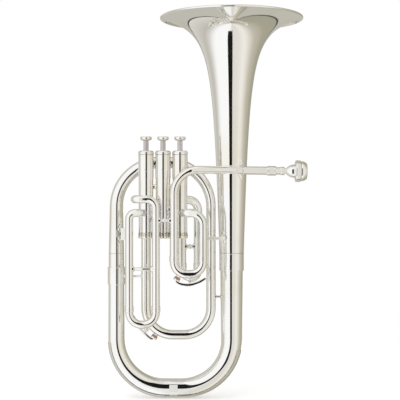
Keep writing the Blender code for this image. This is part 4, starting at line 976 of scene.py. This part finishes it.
# %% Outer tubes
OUTER_TUBES = {
    "main_slide_tube": (
        [(41.5, -39, 201.5), (41.5, -39, 265.2), (19.392, -39, 265.2), (9, -21, 265.2)],
        [16.8, 7.0], MAIN_R, 1,
    ),
    "third_slide_tube_left": (
        [(-61.6, -39, 131.1), (-61.6, -39, 265.2), (-47.586, -39, 265.2), (-39, -21, 265.2)],
        [8.5, 7.0], SLIM_R, 3,
    ),
    "third_slide_tube_right": (
        [(-24.4, -39, 131.1), (-24.4, -39, 284.4), (-53.009, -39, 284.4), (-55.251, -27.731, 284.4),
         (-39, -21, 284.4)],
        [12.5, 7.0, 7.0], SLIM_R, 3,
    ),
    "first_slide_tube_left": (
        [(11.5, -3.7, 189.4), (11.5, -3.7, 254), (9, -21, 254)],
        [6.8], FIRST_R, 1,
    ),
    "first_slide_tube_right": (
        [(34.4, -3.7, 189.4), (34.4, -3.7, 283.4), (9, -21, 283.4)],
        [15.8], FIRST_R, 1,
    ),
    "second_slide_tube_low": ([(-15, 14, 258), (-15, -21, 258)], [], SLIM_R, 2),
    "second_slide_tube_high": ([(-15, 14, 281), (-15, -21, 281)], [], SLIM_R, 2),
}


def make_outer_tube(node):
    """Bend a tube along its route, with a collar at its mouth and a saddle at its port."""
    corners, radii, radius, number = OUTER_TUBES[node]
    stations = taper(rounded(corners, radii), radius, radius)
    mouth = (stations[0][0] - stations[1][0]).normalized()
    bore = [(point, r - TUBE_WALL) for point, r in stations]
    bore[0] = (bore[0][0] + mouth, bore[0][1])
    shape = saddled(swept(with_collar(stations, radius + 0.7), 40), number)
    shape = carve(shape, swept(bore, 32))
    make_piece(node + "_bent", shape, [node])


for node in OUTER_TUBES:
    make_outer_tube(node)
solder_ring("third_bend_ring", (-43.7, -39, 284.4), RIGHT, SLIM_R)
print("outer slide tubes:", len(OUTER_TUBES))

# %% [markdown]
# ## The slides
#
# A slide is two straight legs that fit inside the outer tubes, a collar on each that stops at the mouth,
# and the bent crook between them. One sweep goes down one leg, round the crook and up the other leg, so
# that the whole slide is a single closed skin.

# %% Slides
SLIDES = {
    "main_slide": ((1, -39, 201.5), (41.5, -39, 201.5), -UP, MAIN_R, 38.0, 17.3),
    "third_slide": ((-61.6, -39, 131.1), (-24.4, -39, 131.1), -UP, SLIM_R, 55.0, 17.3),
    "first_slide": ((11.5, -3.7, 189.4), (34.4, -3.7, 189.4), -UP, FIRST_R, 32.0, 11.45),
    "second_slide": ((-15, 14, 258), (-15, 14, 281), BACK, SLIM_R, 18.0, 11.5),
}


def leg_stations(mouth, out, radius, insert):
    """The inner leg and the collar that meets the outer tube."""
    leg = radius - 0.9
    collar = radius + 0.7
    steps = [
        (-insert, leg - 0.3), (-insert + 0.4, leg), (0.3, leg), (0.35, collar - 0.3), (0.65, collar),
        (3.95, collar), (4.3, collar - 0.3),
    ]
    return [(mouth + out * along, r) for along, r in steps]


def make_slide(node):
    """Two inner legs with their collars and the crook between them, as one skin."""
    left, right, out, radius, insert, bend_r = SLIDES[node]
    left = Vector(left)
    right = Vector(right)
    depth = 4.5 + bend_r
    crook = rounded([left, left + out * depth, right + out * depth, right], [bend_r, bend_r])[1:-1]
    stations = leg_stations(left, out, radius, insert) + [(point, radius) for point in crook]
    stations += leg_stations(right, out, radius, insert)[::-1]
    shape = swept(stations, 40, side=out.cross(right - left).normalized())
    make_piece(node + "_drawn", shape, [node], body=node + "_body")


for node in SLIDES:
    make_slide(node)
make_seat(1)

# %% Pull knob of the second slide
KNOB_Y = 14 + 0.3 + 4.0 + 11.5
KNOB = [(0, 9.0), (3.0, 9.0), (3.9, 8.2), (4.0, 6.8), (3.2, 5.4), (2.2, 4.2), (2.0, 1.6), (3.0, 0.3)]
profile = [(radius, SLIM_R + height) for radius, height in KNOB + [(3.4, -0.9), (0, -0.9)]]
shape = lathe(smooth_line(profile, 3), 40, (-15, KNOB_Y, 269.5), BACK)
make_piece("second_slide_pull", shape, body="second_slide_body")

# %% [markdown]
# ## Stays
#
# The horn holds its shape by turned stays between neighbouring tubes. Some are plain rods with small feet,
# the one on the third slide swells like a spindle, and others have a ball between two collars. Each is
# turned along the line between the two tubes, and its feet are filed to them.

# %% Turned stays
FILED = 0.3
STAYS = {
    "exit_stay": ((-82.5, 0, 174.3), (-40.1, 0, 174.3), 12.4, INNER_R, "rod"),
    "bow_stay": ((53, 0, 144.9), (82.5, 0, 144.9), INNER_R, 15.65, "rod"),
    "third_slide_stay": ((-61.6, -39, 186.9), (-24.4, -39, 186.9), SLIM_R, SLIM_R, "spindle"),
    "leadpipe_stay": ((-24.4, -39, 254.6), (1, -39, 254.6), SLIM_R, MAIN_R, "ball"),
    "first_slide_stay": ((11.5, -3.7, 217), (34.4, -3.7, 217), FIRST_R, FIRST_R, "ball"),
}


def stay_profile(near, far, kind):
    """Half the outline of a stay between two surfaces, near and far from the first axis."""
    foot = [(4.2, 0.0), (4.2, 0.6), (3.9, 0.9), (2.9, 1.25), (2.35, 1.9), (2.1, 3.0)]
    if kind == "rod":
        foot = [(4.2, 0.0), (3.4, 0.4), (3.2, 0.6), (2.0, 0.9), (1.6, 1.3)]
    middle = (near + far) / 2
    line = [(0, near - 3.0), (4.2, near - 3.0)] + [(r, near + h) for r, h in foot]
    if kind == "spindle":
        line.append((2.7, middle))
    elif kind == "ball":
        line += [(2.1, middle - 4.0), (2.6, middle - 3.7), (2.6, middle - 3.2), (2.2, middle - 2.9)]
        for degrees in range(-55, 56, 11):
            turn = math.radians(degrees)
            line.append((3.4 * math.cos(turn), middle + 3.4 * math.sin(turn)))
        line += [(2.2, middle + 2.9), (2.6, middle + 3.2), (2.6, middle + 3.7), (2.1, middle + 4.0)]
    line += [(r, far - h) for r, h in foot[::-1]]
    line += [(4.2, far + 3.0), (0, far + 3.0)]
    return smooth_line(line, 2) if kind == "spindle" else line


def turned_stay(start, end, start_r, end_r, kind):
    """A stay along the line between two axes, whose tubes have these radii."""
    start = Vector(start)
    end = Vector(end)
    length = (end - start).length
    profile = stay_profile(start_r, length - end_r, kind)
    return lathe(profile, 32, start, (end - start).normalized())


for node, (start, end, start_r, end_r, kind) in STAYS.items():
    shape = turned_stay(start, end, start_r, end_r, kind)
    for at, radius in ((start, start_r), (end, end_r)):
        shape = carve(shape, drum(Vector(at) - UP * 12, UP, radius - FILED, 24))
    make_piece(node + "_turned", shape, [node])
print("stays:", len(STAYS))

# %% [markdown]
# Where a stay meets the thin wall of the bell, or the lyre holder meets the branch, a diamond-shaped
# plate spreads the load. The plate is a grid whose rows are narrowed to a diamond and wrapped on the
# round wall, and then it is given its thickness.

# %% Wrapped plates
PLATE_THICKNESS = 1.1


def wrapped_plate(axis, height, facing, half_width, half_height, radius_at):
    """A diamond plate on a round wall: radius_at gives the wall's radius at a height."""
    bm = bmesh.new()
    bmesh.ops.create_grid(bm, x_segments=16, y_segments=24, size=1)
    centre = math.atan2(facing[1], facing[0])
    for vert in bm.verts:
        across, along, _ = vert.co
        width = half_width * (1 - abs(along) ** 1.12) + 0.35
        z = height + along * half_height
        radius = radius_at(z) + 0.15
        turn = centre + across * width / radius
        vert.co = (axis[0] + radius * math.cos(turn), axis[1] + radius * math.sin(turn), z)
    bmesh.ops.recalc_face_normals(bm, faces=bm.faces)
    bm.faces.ensure_lookup_table()
    middle = bm.faces[len(bm.faces) // 2]
    if middle.normal.dot(Vector((facing[0], facing[1], 0))) < 0:
        bmesh.ops.reverse_faces(bm, faces=bm.faces)
    bmesh.ops.solidify(bm, geom=bm.faces, thickness=-PLATE_THICKNESS)
    bmesh.ops.recalc_face_normals(bm, faces=bm.faces)
    return bm


def bell_wall(z):
    """The bell's outer radius at a height."""
    return bell_radius(BELL_RIM_Z - z)


def bell_tool(inset):
    """The stem of the bell as a solid tool for filing feet to its wall."""
    line = [(r - inset, z) for r, z in bell_outline(84, 24)]
    return lathe([(0, line[0][1])] + line + [(0, line[-1][1])], 96, (BELL_X, 0, 0))


# %% Stays on the bell
def wall_stay(node, start, end, near_r, far_r, tube, facing, half_width, half_height):
    """A stay from a tube to the bell's wall, with the plate under its foot."""
    shape = carve(turned_stay(start, end, near_r, far_r, "plain"), tube)
    make_piece(node + "_turned", carve(shape, bell_tool(FILED)), [node])
    plate = wrapped_plate((BELL_X, 0), start.z, facing, half_width, half_height, bell_wall)
    make_piece(node + "_plate", plate, bevel=0.25)


STAY_Z = 229.2
start = spot(41.5, FRONT_Y, STAY_Z)
end = spot(BELL_X, 0, STAY_Z)
facing = (start - end).normalized()
tube = drum(start - UP * 12, UP, MAIN_R - FILED, 24)
wall_stay("bell_stay", start, end, MAIN_R, bell_wall(STAY_Z) + 1.0, tube, facing, 7.5, 10.8)
POST_Z = 324.63
start = spot(102.04, FRONT_Y, POST_Z)
end = spot(96.04, 0, POST_Z)
tube = drum(PIPE_CORNER + PIPE_AXIS * 90, PIPE_AXIS, 5.5, 30)
wall_stay("leadpipe_post", start, end, 5.8, 21.75, tube, (0.6225, -0.7826), 8.5, 13.0)

# %% [markdown]
# ## The lyre holder
#
# A small block with a square socket holds the wire lyre of a music card. It stands off the branch on a
# short foot, and a knurled screw in its side clamps the lyre.

# %% Lyre holder
LYRE_Z = 235.4
LYRE_AT = spot(-69.7, -19, LYRE_Z)
BRANCH_AXIS = spot(BRANCH_X, 0, LYRE_Z)


def box(width, depth, height):
    """A plain box about the origin."""
    bm = bmesh.new()
    bmesh.ops.create_cube(bm, size=1)
    bmesh.ops.scale(bm, vec=(width, depth, height), verts=bm.verts)
    return bm


block = box(10, 10, 17)
upright = [edge for edge in block.edges if abs((edge.verts[0].co - edge.verts[1].co).z) > 1]
bmesh.ops.bevel(
    block, geom=upright, offset=1.4, segments=3, profile=0.5, affect="EDGES", material=-1, clamp_overlap=True
)
bmesh.ops.translate(block, vec=LYRE_AT, verts=block.verts)
socket = box(5.5, 5.5, 40)
bmesh.ops.translate(socket, vec=LYRE_AT, verts=socket.verts)
block = carve(block, socket)
block = carve(block, drum(LYRE_AT - RIGHT * 9, RIGHT, 1.8, 9, 24))
make_piece("lyre_socket_block", block, ["lyre_holder"], bevel=0.35)
way = (LYRE_AT - BRANCH_AXIS).normalized()
reach = (LYRE_AT - BRANCH_AXIS).length
foot = [(0, 10.2), (3.6, 10.2), (3.6, 12.2), (2.9, 12.7), (2.6, 13.8), (2.6, reach - 5.2)]
foot += [(3.2, reach - 4.4), (3.4, reach - 3.6), (0, reach - 3.6)]
make_piece("lyre_foot", lathe(eased(foot, 0.25), 40, BRANCH_AXIS, way))


def branch_wall(z):
    """The branch narrows by 1.5 from its ferrule to the start of the bend."""
    return 11.0 - 1.5 * (z - BRANCH_LOW) / (BRANCH_TOP - BRANCH_LOW)


plate = wrapped_plate((BRANCH_X, 0), LYRE_Z, way, 6.0, 13.5, branch_wall)
make_piece("lyre_plate", plate, bevel=0.25)

# %% Lyre screw
profile = [
    (0, 6.5), (3.9, 6.5), (5.0, 5.6), (5.0, 3.4), (4.2, 2.8), (3.0, 1.7), (3.0, 0.3), (2.6, 0), (1.5, 0),
    (1.5, -2.9), (0, -3.2),
]
screw_at = spot(-75.0, -19, LYRE_Z)
shape = lathe(eased(profile, 0.25), 48, screw_at, -RIGHT)
knurl(shape, 3.6, 5.4, 0.2, screw_at, -RIGHT, 4.5)
make_piece("lyre_screw_turned", shape, ["lyre_screw"], WORN, "lyre_screw_body", extra=[GROOVE_SHADE_AND_TARNISH])

# %% [markdown]
# ## The water keys
#
# A key is a lever on a hinge. Its cup presses a cork pad on the spout, and the player's finger lifts it
# by the touch at the other end. The lever is a cast bar with eased corners, swept along its curve and
# thicker at the hinge and near the touch. A wire spring beside it closes the key.

# %% Levers, cups and corks
KEYS = {
    1: {
        "lever": [(3.5, 170.3), (6.2, 167.9), (10.0, 166.2), (15.0, 165.1), (20.4, 164.8), (26.0, 165.4),
                  (33.0, 167.6), (39.6, 170.6), (45.3, 174.0)],
        "sizes": [1.7, 2.0, 2.2, 2.3, 2.4, 2.3, 2.1, 2.4, 2.0],
        "spring": [(24.6, 169.2), (28.6, 169.6), (33.4, 172.3), (37.4, 176.6), (38.5, 179.4)],
    },
    2: {
        "lever": [(-29.9, 84.8), (-33.0, 85.0), (-37.2, 87.8), (-42.0, 92.0), (-46.6, 96.4), (-50.8, 100.8),
                  (-54.0, 105.8), (-56.6, 112.4), (-58.2, 117.0)],
        "sizes": [1.8, 2.2, 2.4, 2.4, 2.2, 2.1, 2.3, 2.8, 2.3],
        "spring": [(-39.6, 95.4), (-43.4, 98.4), (-45.0, 103.2), (-42.5, 108.8)],
    },
}
SPRING_SIDE = 2.45
SIDE = 0.8
BAR = eased([(SIDE, -SIDE), (SIDE, SIDE), (-SIDE, SIDE), (-SIDE, -SIDE)], 0.4, 4)
PAD = [(0, 1.7), (3.3, 1.7), (4.4, 1.8), (4.4, 5.6), (0, 5.6)]
CUP = [(0, 6.95), (1.6, 6.9), (3.4, 6.75), (4.45, 6.2), (4.75, 5.2), (4.75, 4.3), (4.45, 4.3), (4.42, 5.7)]
BARREL = [(0.95, -2.6), (2.0, -2.6), (2.1, -2.2), (2.1, 2.2), (2.0, 2.6), (0.95, 2.6)]


def make_key(number):
    """The lever with its cork, cup and hinge barrel, and the spring beside it."""
    seat = SEATS[number]
    pivot = seat["pivot"]
    name = f"water_key_{number}"
    body = name + "_body"
    route = smooth_line([(x, pivot.y, z) for x, z in KEYS[number]["lever"]], 5)
    sizes = [r for r, _ in smooth_line([(r, i) for i, r in enumerate(KEYS[number]["sizes"])], 5)]
    make_piece(name + "_lever", swept(list(zip(route, sizes)), outline=BAR), [name], body=body)
    pad = lathe(eased(PAD, 0.3), 48, *seat["spout"])
    make_piece(name + "_cork", pad, [f"cork_{number}"], CORK, body)
    make_piece(name + "_cup", lathe(eased(CUP + [(0, 5.7)], 0.15), 48, *seat["spout"]), body=body)
    make_piece(name + "_barrel", lathe(eased(BARREL, 0.15), 32, pivot, BACK), body=body)
    nearest = min(route, key=lambda point: (Vector(point) - pivot).length)
    make_piece(name + "_web", swept([(pivot, 1.5), (nearest, 1.7)], 20), body=body)
    wire = smooth_line([(x, pivot.y + SPRING_SIDE, z) for x, z in KEYS[number]["spring"]], 5)
    wire = swept([(point, 0.4) for point in wire], 10)
    make_piece(name + "_spring", wire, finish=SPRING, body=seat["body"])


for number in KEYS:
    make_key(number)

# %% [markdown]
# ## Studio
#
# The horn stands on a plain pale floor in a white tent. What gives polished metal its look is what it
# mirrors, so the world shows mirror rays a tent: bright cloth on the left, warmer and dimmer cloth on the
# right, and behind the horn a grey panel with a dark edge. Camera rays see plain white.

# %% World
world = bpy.data.worlds.new("tent")
bpy.context.scene.world = world
world.use_nodes = True
tree = world.node_tree
direction = add_node(tree, "ShaderNodeTexCoord").outputs["Generated"]
parts = add_node(tree, "ShaderNodeSeparateXYZ", {"Vector": direction}).outputs
around = maths(tree, "ARCTAN2", parts["X"], maths(tree, "MULTIPLY", parts["Y"], -1.0))
around = add_node(tree, "ShaderNodeMapRange", {"Value": around, "From Min": -math.pi, "From Max": math.pi})
TENT = [
    (-180, (0.30, 0.29, 0.27)),
    (-165, (0.34, 0.33, 0.30)),
    (-152, (0.70, 0.69, 0.65)),
    (-138, (0.64, 0.62, 0.57)),
    (-112, (0.54, 0.52, 0.47)),
    (-97, (0.66, 0.65, 0.61)),
    (-79, (0.92, 0.92, 0.90)),
    (-69, (1.0, 1.0, 1.0)),
    (-15, (1.0, 1.0, 1.0)),
    (-4, (0.86, 0.86, 0.86)),
    (4, (0.76, 0.73, 0.68)),
    (30, (0.80, 0.77, 0.72)),
    (51, (0.89, 0.87, 0.81)),
    (62, (0.84, 0.81, 0.74)),
    (76, (0.70, 0.67, 0.59)),
    (92, (0.54, 0.51, 0.43)),
    (112, (0.47, 0.45, 0.35)),
    (126, (0.40, 0.38, 0.29)),
    (150, (0.38, 0.37, 0.29)),
    (165, (0.28, 0.27, 0.22)),
    (180, (0.26, 0.25, 0.22)),
]
stops = [(degrees / 360 + 0.5, colour) for degrees, colour in TENT]
tent = ramp(tree, around.outputs["Result"], stops)

# %% Back panel
PANEL_SIDE = 2.14
PANEL_FOOT = 0.2456
width = maths(tree, "MULTIPLY", maths(tree, "ABSOLUTE", parts["X"]), PANEL_SIDE)
foot = maths(tree, "MULTIPLY", parts["Z"], -PANEL_FOOT)
reach = maths(tree, "MAXIMUM", maths(tree, "MAXIMUM", width, foot), 0.01)
behind = maths(tree, "MULTIPLY", maths(tree, "DIVIDE", parts["Y"], reach), 0.5)
panel = ramp(tree, behind, [(0.49, 0.0), (0.5, 1.0)])
edge = ramp(tree, behind, [(0.45, 0.0), (0.465, 1.0), (0.495, 1.0), (0.51, 0.0)])
for mask, colour in ((panel, (0.53, 0.515, 0.46)), (edge, (0.06, 0.06, 0.05))):
    tent = mixed(tree, mask, tent, (*colour, 1))
rays = add_node(tree, "ShaderNodeLightPath").outputs
mirror = mixed(tree, rays["Is Glossy Ray"], (0.86, 0.86, 0.85, 1), tent)
feed(tree, tree.nodes["Background"], {"Color": mixed(tree, rays["Is Camera Ray"], mirror, (1, 1, 1, 1))})

# %% Floor
FLOOR_R = 0.6
disc = bmesh.new()
bmesh.ops.create_circle(disc, cap_ends=True, segments=96, radius=FLOOR_R)
floor = add_mesh_object("studio_floor", disc)
paper, tree, shader = new_material("floor_paper")
place = add_node(tree, "ShaderNodeTexCoord").outputs["Object"]
rays = add_node(tree, "ShaderNodeLightPath").outputs
seen = maths(tree, "MAXIMUM", rays["Is Camera Ray"], rays["Is Glossy Ray"])
looks = {
    "Roughness": 0.9,
    "Specular IOR Level": 0.0,
    "Base Color": ramp(tree, noise(tree, place, 240.0, 4.0), [(0.3, 0.90), (0.7, 0.93)]),
    "Emission Color": (1, 1, 1, 1),
    "Emission Strength": maths(tree, "MULTIPLY", seen, 0.22),
}
feed(tree, shader, looks)
floor.data.materials.append(paper)
floor.visible_glossy = False

# %% [markdown]
# A real tent has a gap in front for the camera, and polished tubes show it as a dark line. The gap is a
# dark card that only mirror rays see. Small pale cards before a few tubes hide the gap from them, as white
# paper does on a photographer's table.

# %% Cards for mirror rays alone
def card(name, rows, colour):
    """A sheet whose rows are (left, right, y, z) in metres; only mirror rays see it."""
    shape = bmesh.new()
    side = [shape.verts.new((left, y, z)) for left, _, y, z in rows]
    edges = [shape.edges.new(pair) for pair in zip(side, side[1:])]
    made = bmesh.ops.extrude_edge_only(shape, edges=edges)["geom"]
    for vert in [item for item in made if isinstance(item, bmesh.types.BMVert)]:
        row = min(rows, key=lambda row: abs(row[2] - vert.co.y) + abs(row[3] - vert.co.z))
        vert.co.x = row[1]
    sheet = add_mesh_object(name, shape)
    for ray in ("camera", "diffuse", "transmission", "shadow"):
        setattr(sheet, "visible_" + ray, False)
    paper, tree, shader = new_material(name)
    looks = {
        "Base Color": (0.01, 0.01, 0.01, 1),
        "Roughness": 1.0,
        "Specular IOR Level": 0.0,
        "Emission Color": (*colour, 1),
        "Emission Strength": 1.0,
    }
    feed(tree, shader, looks)
    sheet.data.materials.append(paper)


GAP = [(-0.073, 0.107, -0.5, 0.62), (-0.073, 0.107, -0.5, 0.001), (0.003, 0.093, -0.262, 0.001)]
SLIPS = {
    "pipe_slip": (0.026, 0.088, -0.0468, 0.3253, 0.0054, (0.80, 0.77, 0.71)),
    "bow_slip": (-0.0066, 0.0052, -0.0195, 0.016, 0.012, (0.78, 0.77, 0.74)),
    "main_bend_slip": (0.019, 0.033, -0.0465, 0.2652, 0.0056, (0.90, 0.89, 0.86)),
    "third_bend_slip": (-0.056, -0.0475, -0.0465, 0.2652, 0.0056, (0.88, 0.87, 0.84)),
}
card("tent_gap", GAP, (0.002, 0.003, 0.002))
for name, (left, right, y, z, half, colour) in SLIPS.items():
    card(name, [(left, right, y, z - half), (left, right, y, z + half)], colour)

# %% Lamp and camera
LAMP_AT = Vector((-0.5, -0.4, 1.9))
LAMP_TARGET = Vector((0, 0, 0.25))
light = bpy.data.lights.new("tent_top", "AREA")
light.shape = "SQUARE"
light.size = 1.4
light.energy = 8
lamp = add_object("tent_top", light)
lamp.location = LAMP_AT
lamp.visible_glossy = False
lamp.rotation_euler = (LAMP_TARGET - LAMP_AT).to_track_quat("-Z", "Y").to_euler()
lens = bpy.data.cameras.new("camera")
lens.lens = 94.17
lens.sensor_width = 36
camera = add_object("camera", lens)
camera.location = (0.0373, -1.5, 0.2834)
camera.rotation_euler = (math.radians(90), 0, 0)
bpy.context.scene.camera = camera
bpy.context.scene.view_settings.view_transform = "Standard"
